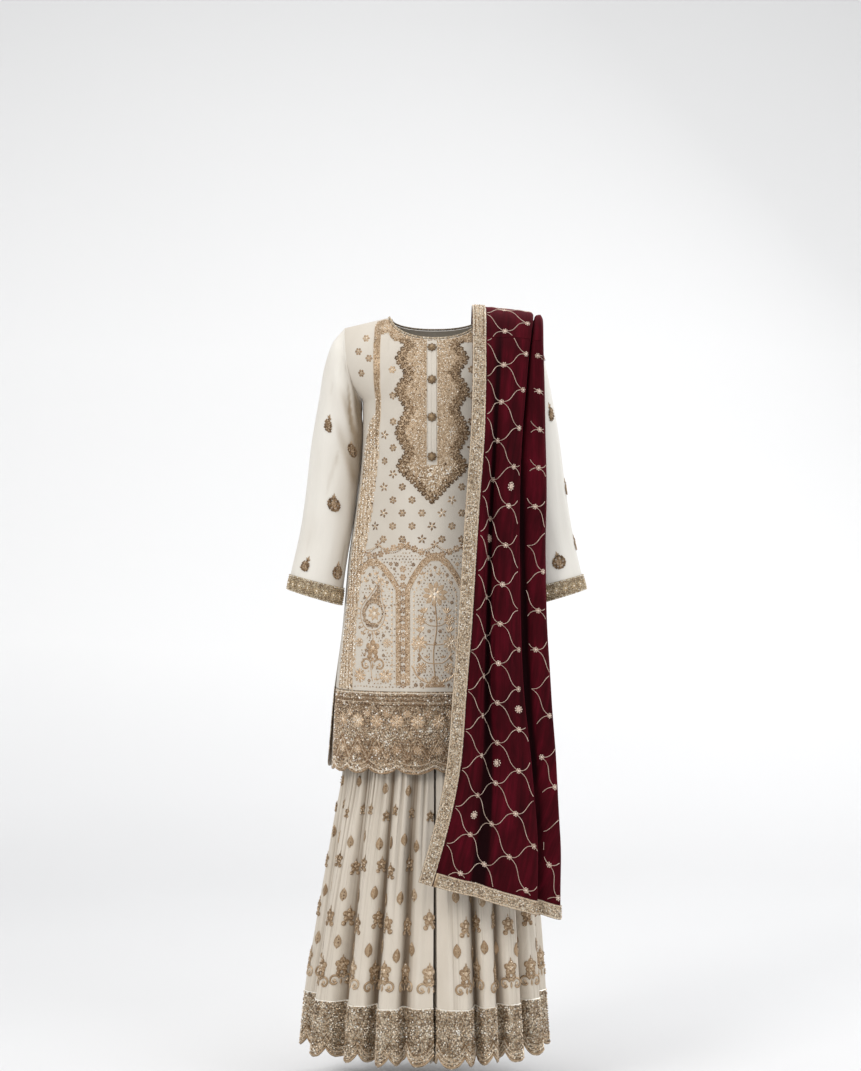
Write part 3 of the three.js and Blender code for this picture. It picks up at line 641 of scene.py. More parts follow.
def velvet_material():
    """Deep wine pile: near black where painted shade is set by the fold attribute, soft pink-red sheen at grazing
    angles, brushed streaks.
    """
    mat, nt, bsdf = nodes_of("wine_velvet")
    uv = coords(nt, "UV")
    streak = noise(nt, mapped(nt, uv, (95, 7, 1)), 1.0, 4.0, 0.62)
    brush = noise(nt, mapped(nt, uv, (16, 9, 1)), 1.0, 3.0, 0.6)
    pile = noise(nt, mapped(nt, uv, (900, 900, 1)), 1.0, 2.0, 0.5)
    value = math_node(nt, "ADD", math_node(nt, "MULTIPLY", streak, 0.55), math_node(nt, "MULTIPLY", brush, 0.45))
    tone = ramp(nt, [(0.34, (0.022, 0.0008, 0.0022)), (0.5, (0.055, 0.0016, 0.0052)), (0.66, (0.11, 0.0032, 0.0115))], value)
    tone = mix(nt, tone, (0.014, 0.0005, 0.0015), math_node(nt, "MULTIPLY", pile, 0.35))
    # painted shade: near black where the fold attribute is set
    nt.links.new(folded(nt, tone, (0.006, 0.0002, 0.0008)), bsdf.inputs["Base Color"])
    h = bump(nt, pile, 0.5, 0.0006)
    h = bump(nt, streak, 0.35, 0.0012, h)
    nt.links.new(h, bsdf.inputs["Normal"])
    bsdf.inputs["Roughness"].default_value = 0.85
    bsdf.inputs["Specular IOR Level"].default_value = 0.08
    bsdf.inputs["Sheen Weight"].default_value = 0.2
    bsdf.inputs["Sheen Roughness"].default_value = 0.4
    bsdf.inputs["Sheen Tint"].default_value = (0.7, 0.07, 0.12, 1)
    return mat


# deep is the painted shade colour each cloth takes where its fold attribute is set
IVORY = organza("ivory_kameez", (0.66, 0.605, 0.525), (0.58, 0.52, 0.44), deep=(0.30, 0.235, 0.165))
IVORY_SLEEVE = organza("ivory_sleeve", (0.87, 0.84, 0.775), (0.82, 0.785, 0.715), rough=0.55, sheen=0.3, deep=(0.36, 0.28, 0.195))
IVORY_LEG = organza("ivory_sharara", (0.74, 0.665, 0.565), (0.64, 0.565, 0.465), crinkle=0.0028, deep=(0.225, 0.165, 0.11))
LACE = gold_cloth("gold_lace", (0.145, 0.09, 0.052), (0.44, 0.315, 0.20), (0.71, 0.585, 0.44))
# painted light: a lighter copy of the gold lace for the trouser borders, to make up for the shade they sit in low down
LACE_LEG = gold_cloth("gold_lace_sharara", (0.165, 0.112, 0.07), (0.50, 0.385, 0.26), (0.78, 0.67, 0.52))
BAND = gold_cloth("gold_band", (0.16, 0.105, 0.06), (0.46, 0.35, 0.22), (0.72, 0.62, 0.46), cell=420.0)
BAND_PALE = gold_cloth("pale_gold_band", (0.21, 0.145, 0.09), (0.60, 0.465, 0.32), (0.88, 0.77, 0.61), cell=420.0)
WORK = thread("gold_thread", [(0.0, (0.12, 0.07, 0.035)), (0.35, (0.36, 0.25, 0.135)), (0.62, (0.58, 0.45, 0.28)), (0.85, (0.80, 0.70, 0.54)), (1.0, (1.0, 0.95, 0.86))], 0.45, 0.36)
WORK_WARM = thread("warm_gold_thread", [(0.0, (0.13, 0.07, 0.035)), (0.3, (0.38, 0.245, 0.14)), (0.6, (0.64, 0.475, 0.315)), (0.85, (0.88, 0.765, 0.61)), (1.0, (1.0, 0.96, 0.89))], 0.42, 0.38)
WORK_PALE = thread("pale_gold_thread", [(0.0, (0.12, 0.07, 0.036)), (0.3, (0.34, 0.225, 0.125)), (0.6, (0.68, 0.53, 0.37)), (0.85, (0.90, 0.79, 0.64)), (1.0, (1.0, 0.97, 0.90))], 0.4, 0.38)
CREAM = thread("cream_thread", [(0.0, (0.26, 0.15, 0.11)), (0.5, (0.52, 0.385, 0.30)), (1.0, (0.86, 0.74, 0.63))], 0.15, 0.45)
VELVET = velvet_material()


def wear(o, node):
    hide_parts(node)
    return o


# ------------------------------------------------------------------ the kameez form
KAM_Z = [-19, -60, -100, -130, -150, -164, -236, -313, -390, -467, -580, -712, -790, -867]
KAM_HALF = [174, 172, 167, 158, 147, 139.3, 140, 146, 156.4, 167, 177, 191, 196, 200]
KAM_FRONT = [108, 108, 108, 108, 108, 108, 113, 110, 109, 112, 118, 126, 130, 134]
KAM_BACK = [98, 98, 98, 98, 98, 98, 96, 92, 93, 98, 108, 117, 121, 125]
POWER = 2.3
TIP_X, TIP_Z, NECK_HALF, NECK_Z, UNDER_Z, RIDGE_Y = 174.0, -19.0, 89.0, 1.0, -164.0, 8.0
DROP = {-1: 49.0, 1: 21.0}
BAND_TOP, HEM_Z, SCALLOP, SCALLOPS = -712.0, -867.0, 11.0, 10
NECK_S = NECK_HALF / TIP_X

# Soft creases of the front and back: from (x, z) to (x, z), width and height, out is positive.
CREASES = {
    -1: [
        (-150, -182, -92, -300, 9, -2.6), (-142, -205, -104, -262, 6, 1.8), (-128, -170, -70, -236, 10, -1.6),
        (-148, -240, -118, -400, 10, -2.4), (-128, -330, -112, -640, 12, -2.2), (-146, -480, -160, -712, 10, 3.0),
        (-96, -430, -88, -860, 17, 2.6), (-66, -520, -58, -860, 13, -2.4), (-20, -470, -26, -860, 22, 2.2),
        (30, -540, 38, -860, 15, -2.6), (72, -460, 82, -860, 19, 2.8), (118, -500, 130, -860, 15, -2.4),
        (150, -182, 96, -290, 9, -2.2), (150, -420, 168, -800, 12, 2.6), (-40, -330, -120, -372, 12, -1.4),
        (-160, -560, -176, -860, 9, -3.0), (40, -345, 118, -378, 12, -1.4),
    ],
    1: [
        (-150, -190, -80, -330, 10, -2.6), (150, -190, 84, -320, 10, -2.4), (-70, -60, -30, -150, 16, -1.8),
        (70, -60, 36, -140, 16, -1.6), (-110, -330, 90, -352, 11, 2.2), (-120, -362, 100, -384, 10, -2.0),
        (-100, -470, -92, -860, 18, 3.2), (-54, -520, -60, -860, 14, -3.0), (-8, -440, -4, -860, 20, 3.0),
        (44, -540, 50, -860, 15, -3.2), (88, -470, 100, -860, 18, 3.0), (130, -560, 144, -860, 12, -2.8),
        (-136, -500, -150, -860, 13, -2.6),
    ],
}


def crease_height(creases, x, z):
    h = 0.0
    for x0, z0, x1, z1, w, d in creases:
        dx, dz = x1 - x0, z1 - z0
        t = np.clip(((x - x0) * dx + (z - z0) * dz) / (dx * dx + dz * dz), -0.15, 1.15)
        away = (x - x0 - t * dx) ** 2 + (z - z0 - t * dz) ** 2
        taper = smooth01(t, -0.15, 0.3) * (1 - smooth01(t, 0.75, 1.15) * (0.0 if z1 < -850 else 1.0))
        h = h + d * taper * np.exp(-away / (w * w))
    return h


def half_at(z):
    return curve(KAM_Z, KAM_HALF, z)


def deep_at(side, z):
    return curve(KAM_Z, KAM_FRONT if side < 0 else KAM_BACK, z)


def vent(z):
    return np.clip((-590.0 - z) / 120.0, 0, 1)


def flare(side, z):
    return 8.0 * vent(z) * np.clip((-590.0 - z) / 270.0, 0, 1) if side > 0 else 0.0


def neck_z(side, x):
    return NECK_Z - DROP[side] * np.sqrt(np.maximum(0, 1 - (np.abs(x) / NECK_HALF) ** 2.2))


def body_point(side, turn, z):
    deep = deep_at(side, z)
    half = half_at(z) + flare(side, z)
    e = 2 / POWER
    edge = np.arcsin(np.clip(5.0 * vent(z) / deep, 0, 1) ** (1 / e))
    t = edge + turn / np.pi * (np.pi - 2 * edge)
    x = half * spow(np.cos(t), e)
    y = side * (deep * np.maximum(np.sin(t), 0) ** e + 0.15)
    return np.stack(np.broadcast_arrays(x, y, z), -1)


def yoke_point(side, turn, rise):
    e = 2 / POWER
    s = spow(np.cos(turn), e)
    x = np.abs(s) * TIP_X
    top = NECK_Z + (TIP_Z - NECK_Z) * np.clip((x - NECK_HALF) / (TIP_X - NECK_HALF), 0, 1)
    full = np.where(x < NECK_HALF - 1e-6, np.arcsin(np.clip((neck_z(side, np.minimum(x, NECK_HALF)) - UNDER_Z) / (top - UNDER_Z), 0, 1)) * 2 / np.pi, 1.0)
    w = rise * full
    a = w * np.pi / 2
    z = UNDER_Z + (top - UNDER_Z) * np.sin(a)
    k = 1 - 0.12 * np.sin(np.pi * w)
    across = np.maximum(0, 1 - (np.abs(s) * k) ** POWER) ** (1 / POWER)
    y = RIDGE_Y * np.sin(a) + side * (deep_at(side, UNDER_Z) * np.cos(a) * across + 0.15)
    return np.stack(np.broadcast_arrays(s * half_at(z), y, z), -1)


def with_creases(side, P):
    """The panel's points with its soft creases, which fade out at the seams."""
    x, z = P[..., 0], P[..., 2]
    edge = 1 - np.clip(np.abs(x) / (half_at(z) + flare(side, z)), 0, 1) ** 8
    fade = edge * (1 - smooth01(z, -60, -20))
    h = crease_height(CREASES[side], x, z)
    h = h + 1.1 * wobble(11 + side, x / 34, z / 120) * smooth01(-z, 150, 480) + 0.35 * wobble(17 + side, x / 11, z / 60)
    Q = P.copy()
    Q[..., 1] += side * h * fade
    return Q


def panel_y(side, x, z):
    """Depth of the panel at a front-view place."""
    s = np.clip(np.abs(x) / half_at(z), 0, 0.995)
    top = NECK_Z + (TIP_Z - NECK_Z) * np.clip((s * TIP_X - NECK_HALF) / (TIP_X - NECK_HALF), 0, 1)
    a = np.arcsin(np.clip((z - UNDER_Z) / (top - UNDER_Z), 0, 0.9999))
    k = 1 - 0.12 * np.sin(2 * a)
    high = RIDGE_Y * np.sin(a) + side * (deep_at(side, UNDER_Z) * np.cos(a) * np.maximum(0, 1 - (s * k) ** POWER) ** (1 / POWER) + 0.15)
    s2 = np.clip(np.abs(x) / (half_at(z) + flare(side, z)), 0, 0.995)
    low = side * (deep_at(side, z) * (1 - s2**POWER) ** (1 / POWER) + 0.15)
    y = np.where(z > UNDER_Z, high, low)
    return with_creases(side, np.stack([x, y, z], -1))[..., 1]


class Panel:
    """Places on a kameez panel by length across it from the centre line, X, and height, Z."""

    def __init__(self, side):
        self.side = side
        self.zs = np.linspace(-880, -4, 180)
        self.q = np.linspace(-1, 1, 201)
        s = np.linspace(-0.985, 0.985, 241)
        self.half, self.table = [], []
        for z in self.zs:
            x = s * (half_at(z) + flare(side, z))
            y = panel_y(side, x, np.full_like(x, z))
            d = np.hypot(np.diff(x), np.diff(y))
            A = np.concatenate([[0], np.cumsum(d)])
            A -= np.interp(0, x, A)
            self.half.append(A[-1])
            self.table.append(np.interp(self.q * A[-1], A, x))
        self.half, self.table = np.array(self.half), np.array(self.table)

    def width(self, z):
        return np.interp(z, self.zs, self.half)

    def x_of(self, X, Z):
        r = (Z - self.zs[0]) / (self.zs[1] - self.zs[0])
        q = np.clip(X / self.width(Z), -1, 1)
        return Grid.pick2(self.table, r, (q + 1) * 100)

    def at(self, X, Z):
        x = self.x_of(X, Z)
        e = 0.7
        y = panel_y(self.side, x, Z)
        fx = (panel_y(self.side, x + e, Z) - panel_y(self.side, x - e, Z)) / (2 * e)
        fz = (panel_y(self.side, x, Z + e) - panel_y(self.side, x, Z - e)) / (2 * e)
        n = np.stack([-fx, np.ones_like(fx), -fz], -1) * self.side
        return np.stack([x, y, Z], -1), n / np.linalg.norm(n, axis=1, keepdims=True)

    def mapper(self, X0, Z0, dx, dz):
        return self.at(X0 + dx, Z0 + dz)


def neck_turns(columns):
    s = np.concatenate([np.linspace(1, NECK_S, columns // 4, endpoint=False), NECK_S * np.cos(np.linspace(0, np.pi, columns // 2)), -np.linspace(1, NECK_S, columns // 4, endpoint=False)[::-1]])
    return s, np.arccos(spow(s, POWER / 2))


def kameez_panel(side, columns, low_rows, high_rows):
    s, turn = neck_turns(columns)
    zs = np.linspace(BAND_TOP, UNDER_Z, low_rows, endpoint=False)
    low = body_point(side, turn[None, :], zs[:, None])
    high = yoke_point(side, turn[None, :], np.linspace(0, 1, high_rows)[:, None])
    P = np.concatenate([low, high])
    P = with_creases(side, P)
    away = np.zeros_like(P)
    away[..., 1] = side
    return Grid(P, False, away)


SIDES = {"front": -1, "back": 1}
PANELS = {side: Panel(side) for side in (-1, 1)}
for name, side in SIDES.items():
    g = kameez_panel(side, 90 if side < 0 else 66, 88 if side < 0 else 50, 38 if side < 0 else 24)
    wear(g.shell(f"kameez_{name}_cloth", 1.3, IVORY), f"kameez_{name}")


def hem_z(f, count, tip, drop):
    """Lower edge of a scalloped band at share f of its width."""
    g = np.abs(2 * np.mod(f * count, 1.0) - 1)
    return tip + drop * g**2.6


for name, side in SIDES.items():
    cols, rows = 241, 14 if side < 0 else 10
    f = np.linspace(0, 1, cols)
    low = hem_z(f, SCALLOPS, HEM_Z, SCALLOP)
    t = np.linspace(0, 1, rows)[:, None]
    Z = (BAND_TOP - 0.3) * t + low[None, :] * (1 - t)
    P = with_creases(side, body_point(side, (np.pi * f)[None, :] * np.ones_like(Z), Z))
    away = np.zeros_like(P)
    away[..., 1] = side
    g = Grid(P, False, away)
    wear(g.shell(f"kameez_border_{name}_lace", 1.7, LACE), f"kameez_border_{name}")

# ------------------------------------------------------------------ neck binding, placket, buttons
front_panel = PANELS[-1]


def neck_loop(n):
    t = np.linspace(0, np.pi, n, endpoint=False)
    s = NECK_S * np.cos(t)
    turn = np.arccos(spow(s, POWER / 2))
    f, fb = yoke_point(-1, turn, 1.0), yoke_point(-1, turn, 0.97)
    b, bb = yoke_point(1, turn[::-1], 1.0), yoke_point(1, turn[::-1], 0.97)
    loop = np.concatenate([f, b])
    below = np.concatenate([fb, bb])
    tang = np.roll(loop, -1, 0) - np.roll(loop, 1, 0)
    up = loop - below
    for k in (0, n):
        up[k] = [-np.sign(loop[k, 0]), 0, 0.2]
    for _ in range(10):
        up = (np.roll(up, 1, 0) + 2 * up + np.roll(up, -1, 0)) / 4
        tang = (np.roll(tang, 1, 0) + 2 * tang + np.roll(tang, -1, 0)) / 4
    up -= tang * (np.sum(up * tang, 1) / np.sum(tang * tang, 1))[:, None]
    up /= np.linalg.norm(up, axis=1, keepdims=True)
    nn = np.cross(tang, up)
    nn /= np.linalg.norm(nn, axis=1, keepdims=True)
    side = np.concatenate([np.full(n, -1.0), np.full(n, 1.0)])
    flip = (nn[:, 1] * side + nn[:, 2]) < 0
    nn[flip] *= -1
    return loop, up, nn


def sweep(name, loop, up, nn, centre, a, b, material, sides=8):
    t = np.arange(sides) * 2 * np.pi / sides
    P = loop[:, None] + up[:, None] * (centre[0] + a * np.cos(t))[None, :, None] + nn[:, None] * (centre[1] + b * np.sin(t))[None, :, None]
    P[..., 2] = np.minimum(P[..., 2], NECK_Z + 0.7 + 0.02 * P[..., 2])
    R, C = P.shape[:2]
    j, i = np.meshgrid(np.arange(R), np.arange(C), indexing="ij")
    f = np.stack([j * C + i, j * C + (i + 1) % C, ((j + 1) % R) * C + (i + 1) % C, ((j + 1) % R) * C + i], -1).reshape(-1, 4)
    uv = np.stack([j.ravel() * 0.004, i.ravel() * 0.001], 1)
    V = P.reshape(-1, 3)
    a_, b_, c_, d_ = (V[f[:, k]] for k in range(4))
    if np.einsum("ij,ij->", a_, np.cross(b_, c_)) + np.einsum("ij,ij->", a_, np.cross(c_, d_)) < 0:
        f = f[:, ::-1]
    return mesh_object(name, V, [f], [material], uv=uv, sharp=0)


NECK = neck_loop(90)
neck = wear(sweep("neck_binding_cord", *NECK, (3.3, -0.5), 2.4, 1.2, BAND_PALE), "neck_binding")


PLACKET_X = -6.0  # the opening sits a little to the wearer's right


def placket():
    zs = np.linspace(-280, -55, 60)
    xs = np.linspace(-8.0, 8.0, 13)
    X, Z = np.meshgrid(xs, zs)
    P, N = front_panel.at(X.ravel() + PLACKET_X, Z.ravel())
    # two folded edges with the opening's shadow line between them
    h = 1.7 - 0.9 * np.exp(-((X.ravel() / 0.9) ** 2)) - 0.35 * np.exp(-(((np.abs(X.ravel()) - 6.2) / 0.8) ** 2))
    P = (P + N * h[:, None]).reshape(60, 13, 3)
    away = np.zeros_like(P)
    away[..., 1] = -1
    g = Grid(P, False, away)
    return wear(g.shell("placket_strip_cloth", 1.0, IVORY), "placket_strip")


placket_piece = placket()


def button(k, z):
    """A small knotted button: a lobed dome on a ring of petals with bead centres."""
    P, N = front_panel.at(np.array([PLACKET_X]), np.array([float(z)]))
    p, n = P[0], N[0]
    a, b = frames(N)
    a, b = a[0], b[0]
    rings = [(0.0, 7.6), (0.5, 8.4), (1.4, 8.2), (2.2, 6.4), (2.6, 4.8), (3.6, 4.1), (4.4, 2.3), (4.8, 0.3)]
    m = 32
    t = np.arange(m) * 2 * np.pi / m
    rows = []
    for h, r in rings:
        lobe = 1 + (0.13 if r > 5 else 0.05) * np.cos(8 * t)
        rows.append(p + n * (1.9 + h) + (np.cos(t)[:, None] * a + np.sin(t)[:, None] * b) * (r * lobe)[:, None])
    V = np.concatenate(rows + [[p + n * 6.5], [p + n * 1.9]])
    R = len(rings)
    i = np.arange(m)
    kk = (i + 1) % m
    F = np.concatenate([np.stack([j * m + i, j * m + kk, (j + 1) * m + kk, (j + 1) * m + i], 1) for j in range(R - 1)])
    T = np.concatenate([np.stack([(R - 1) * m + i, (R - 1) * m + kk, np.full(m, R * m)], 1), np.stack([kk, i, np.full(m, R * m + 1)], 1)])
    bag = Bag()
    # painted highlight and shade: the knot's rings grow lighter from its foot to its crown
    tint = np.concatenate([np.full(m, -0.05 + 0.045 * j) for j in range(R)] + [[0.3], [0.0]])
    bag.add(V, F, tint)
    bag.add(V, T, tint)
    rng = np.random.default_rng(50 + k)
    t = np.arange(8) * 2 * np.pi / 8
    ring = p + n * 4.2 + (np.cos(t)[:, None] * a + np.sin(t)[:, None] * b) * 6.2
    beads(bag, ring, np.repeat(N, 8, 0), 1.2, rng.uniform(0.1, 0.5, 8), rng)
    o = bag.build(f"button_{k}_knot", WORK, sharp=0)
    return wear(o, f"button_{k}")


for k, z in enumerate((-65, -127, -198, -272)):
    button(k + 1, z)

# ------------------------------------------------------------------ sleeves and cuffs
SLEEVE = np.array([
    # outer x, outer z, inner x, inner z, half depth, centre y
    [200, -52, 140.6, -181, 45, 2], [213, -96, 141.4, -206, 50, 0], [224, -158, 142.4, -241, 50, -2], [237, -236, 145.6, -291, 48, -4],
    [248, -332, 155.4, -371, 46, -8], [261, -419, 166, -446, 45, -13], [276, -490, 175.5, -516, 47, -18], [283, -523, 180.5, -554, 48, -20],
], float)
# Creases of a sleeve: place round it (0 top, 0.25 front, 0.5 under the arm), ring, slant, widths, height.
SLEEVE_CREASES = {
    -1: [(0.40, 1.4, 0.030, 0.035, 1.2, -4.0), (0.33, 2.2, 0.035, 0.03, 1.5, -3.0), (0.46, 2.4, 0.02, 0.03, 1.4, 3.0), (0.25, 4.4, -0.05, 0.035, 1.1, -2.2),
         (0.38, 4.8, 0.05, 0.03, 1.0, 2.4), (0.14, 5.6, 0.02, 0.04, 1.3, -2.0), (0.42, 6.2, -0.02, 0.03, 1.2, -2.6), (0.66, 2.6, 0.04, 0.04, 1.4, -3.0),
         (0.8, 4.6, -0.04, 0.04, 1.3, -2.4), (0.6, 5.2, 0.03, 0.035, 1.4, 2.6), (0.18, 2.8, 0.03, 0.03, 1.2, -1.6), (0.3, 6.4, 0.0, 0.03, 1.0, 1.8)],
    1: [(0.42, 1.5, 0.025, 0.035, 1.3, -3.6), (0.34, 2.5, 0.03, 0.03, 1.4, -2.6), (0.28, 4.2, 0.05, 0.035, 1.2, -2.6), (0.4, 5.0, -0.04, 0.03, 1.1, 2.4),
        (0.2, 5.8, -0.03, 0.04, 1.1, 2.0), (0.12, 5.0, 0.02, 0.035, 1.4, -2.2), (0.62, 3.0, -0.03, 0.04, 1.5, -3.0), (0.78, 4.4, 0.05, 0.04, 1.2, 2.2),
        (0.68, 5.8, 0.02, 0.035, 1.3, -2.4), (0.46, 6.3, 0.02, 0.03, 1.1, -2.4)],
}


def sleeve_grid(hand, rows, cols, first=0.0, last=8.0):
    u = np.arange(cols) / cols
    rings = []
    rise = np.where(u <= 0.5, 1 - 2 * u, 2 * u - 1)
    hole = np.where((u <= 0.5)[:, None], yoke_point(-1, np.zeros(cols), rise), yoke_point(1, np.zeros(cols), rise))
    hole[0, 1], hole[cols // 2, 1] = RIDGE_Y, 0
    hole[:, 0] += 0.6
    rings.append(hole)
    c, s = np.cos(2 * np.pi * u), np.sin(2 * np.pi * u)
    for ox, oz, ix, iz, deep, y in SLEEVE:
        rings.append(np.stack([(ox + ix) / 2 + c * (ox - ix) / 2, y - deep * s, (oz + iz) / 2 + c * (oz - iz) / 2], 1))
    rings = np.array(rings)
    v = np.linspace(first, last, rows)
    P = curve_grid(np.arange(9), rings, v)
    P[..., 0] += np.where(hand > 0, 6.0 * v / 8, 0)[:, None] if hand > 0 else 0
    centre = P.mean(1, keepdims=True)
    N, _ = outward(P, grid_normals(P, True), P - centre)
    h = np.zeros(P.shape[:2])
    for u0, v0, slant, wu, wv, d in SLEEVE_CREASES[hand]:
        du = np.mod(u[None, :] - u0 - slant * (v[:, None] - v0) + 0.5, 1) - 0.5
        h += d * np.exp(-((du / wu) ** 2) - ((v[:, None] - v0) / wv) ** 2)
    h += 0.5 * wobble(5 + hand, 2 * np.pi * u[None, :] * 3, v[:, None] * 1.7)
    h += 0.22 * np.sin(2 * np.pi * u[None, :] * 26 + 2 * np.sin(v[:, None] * 1.3)) * np.exp(-((v[:, None] - 0.2) / 1.1) ** 2) * 2
    h *= smooth01(v, 0.05, 0.7)[:, None] * (1 - 0.7 * smooth01(v, 6.8, 7.6))[:, None]
    P = P + N * h[..., None]
    P[..., 0] *= hand
    # the cloth swells a little towards the body below the armhole
    P[..., 0] -= hand * 1.8 * np.exp(-(((u[None, :] - 0.5) / 0.12) ** 2)) * (smooth01(v, 1.2, 2.4) * (1 - smooth01(v, 5.0, 6.6)))[:, None]
    away = P - P.mean(1, keepdims=True)
    # painted shade beside each drag crease, for the fold attribute
    drag_shade = np.zeros(P.shape[:2])
    front = smooth01(-away[..., 1], 0, 14)
    for x0, z0, x1, z1, w_, deep_ in ((170, -92, 143, -236, 5.5, 2.4), (186, -140, 148, -268, 6.0, 2.0), (166, -62, 146, -186, 5.0, 2.0), (197, -200, 158, -330, 7.0, 1.5)):
        dx_, dz_ = x1 - x0, z1 - z0
        L_ = math.hypot(dx_, dz_)
        px_, pz_ = P[..., 0] * hand - x0, P[..., 2] - z0
        t_ = (px_ * dx_ + pz_ * dz_) / L_**2
        d_ = (px_ * dz_ - pz_ * dx_) / L_
        win = smooth01(t_, -0.1, 0.25) * (1 - smooth01(t_, 0.8, 1.1)) * front
        P[..., 1] -= (deep_ * np.exp(-((d_ / w_) ** 2)) * win) * (1.0 if hand < 0 else 0.6)
        drag_shade += 0.30 * np.exp(-(((d_ - w_ * 1.1) / w_) ** 2)) * win * (1.0 if hand < 0 else 0.5)
    g = Grid(P, True, away)
    # Painted shade for the fold attribute: the inner side under the arm towards the body, the whole right sleeve darker
    # as it lies away from the light, beside the drag creases and in the crease hollows, with a little random mottle.
    underarm_shade = np.exp(-(((np.mod(u[None, :] - 0.45 + 0.5, 1) - 0.5) / (0.14 if hand < 0 else 0.115)) ** 2))
    if hand < 0:
        underarm_shade = underarm_shade * (0.35 + 0.65 * (smooth01(v, 0.3, 1.5) * (1 - smooth01(v, 3.4, 5.6)))[:, None])
        g.fold = 0.27 + 0.8 * underarm_shade
    else:
        g.fold = 0.02 + 0.5 * underarm_shade
    g.fold = g.fold + drag_shade + np.clip(hollow(P, g.N, True, 3) * 0.5, -0.15, 0.5) + 0.05 * wobble(61 + hand, 2 * np.pi * u[None, :] * 2, v[:, None] * 2.4)
    return g


sleeves, sleeve_grids, cuff_pieces = {}, {}, {}
for name, hand in (("right", -1), ("left", 1)):
    g = sleeve_grid(hand, 72, 60)
    sleeve_grids[name] = g
    sleeves[name] = wear(g.shell(f"sleeve_{name}_cloth", 1.1, IVORY_SLEEVE, fold=g.fold), f"sleeve_{name}")
    cuff = sleeve_grid(hand, 8, 96, 7.1, 8.0)
    # the cuff band, a little proud of the sleeve
    cuff_pieces[name] = wear(cuff.shell(f"cuff_{name}_band", 1.6, BAND, out=2.0), f"cuff_{name}")
    sleeve_grids["cuff_" + name] = cuff

# ------------------------------------------------------------------ sharara
HIP_Z = [-385, -425, -500, -590, -680]
HIP_HALF = [126, 130, 148, 161, 168]
HIP_FRONT = [88, 90, 98, 104, 108]
HIP_BACK = [78, 80, 90, 100, 106]
LEG_Z = [-680, -770, -866, -980, -1100, -1200, -1290, -1395]
LEG = {
    "gap": [1.5, 1.8, 2.2, 2.5, 3, 3.5, 4, 4],
    "right": [166.5, 168, 172, 188, 205, 218, 230, 238],
    "left": [166.5, 168, 172, 180, 186, 190, 193, 198],
    "front": [108, 109, 116, 138, 158, 172, 184, 194],
    "back": [106, 107, 111, 130, 150, 165, 178, 188],
    "fold": [0, 2, 5, 10, 15, 20, 24, 27],
    "power": [1, 0.97, 0.94, 0.9, 0.88, 0.87, 0.86, 0.86],
}
PLEATS = {
    -1: [(0, 0.15), (0.03, 0.4), (0.061, -0.55), (0.08, 0.75), (0.112, 1), (0.137, -0.9), (0.165, 0.3), (0.2, 0.55), (0.257, -1), (0.285, 0.3), (0.336, 0.8), (0.4, -0.35),
         (0.47, 0.7), (0.535, -0.8), (0.59, 0.85), (0.63, 0.6), (0.67, -0.7), (0.73, 0.85), (0.79, -0.9), (0.85, 0.7), (0.9, -0.5), (0.95, 0.75), (1, 0.15)],
    1: [(0, 0.25), (0.028, 0.9), (0.075, 1), (0.101, -0.8), (0.125, 0.5), (0.155, 0.55), (0.187, -0.6), (0.215, 0.5), (0.255, 0.65), (0.295, -1), (0.325, 0.4), (0.365, 0.75),
        (0.42, -0.4), (0.48, 0.65), (0.55, -0.9), (0.62, 0.8), (0.68, -0.6), (0.74, 0.9), (0.8, -0.8), (0.86, 0.7), (0.91, -0.6), (0.955, 0.7), (1, 0.15)],
}
CROTCH_Z, LEG_BAND, LEG_HEM, LEG_SCALLOP, LEG_SCALLOPS = -680.0, -1290.0, -1395.0, 18.0, 24


def hip_grid(rows, cols, z0, z1, gather):
    t = np.arange(cols) * 2 * np.pi / cols
    z = np.linspace(z0, z1, rows)[:, None]
    half = curve(HIP_Z, HIP_HALF, z)
    deep = np.where(np.sin(t)[None, :] < 0, curve(HIP_Z, HIP_FRONT, z), curve(HIP_Z, HIP_BACK, z))
    P = np.stack(np.broadcast_arrays(half * np.cos(t), deep * np.sin(t), z), -1)
    away = P * [1, 1, 0]
    if gather:
        N, _ = outward(P, grid_normals(P, True), away)
        h = gather * (0.6 * np.sin(46 * t + 1.5 * np.sin(3 * t)) + 0.5 * np.sin(29 * t + 2))[None, :] * (0.35 + 0.65 * np.abs(np.sin((z - z0) / (z1 - z0) * np.pi)))
        P = P + N * h[..., None]
    return Grid(P, True, away)


waist = hip_grid(12, 144, -385, -424.7, 0.7)
waist_piece = wear(waist.shell("sharara_waistband_cloth", 2.2, IVORY_LEG), "sharara_waistband")
yoke = hip_grid(14, 150, -425, -680, 1.0)
yoke_piece = wear(yoke.shell("sharara_yoke_cloth", 1.2, IVORY_LEG), "sharara_yoke")


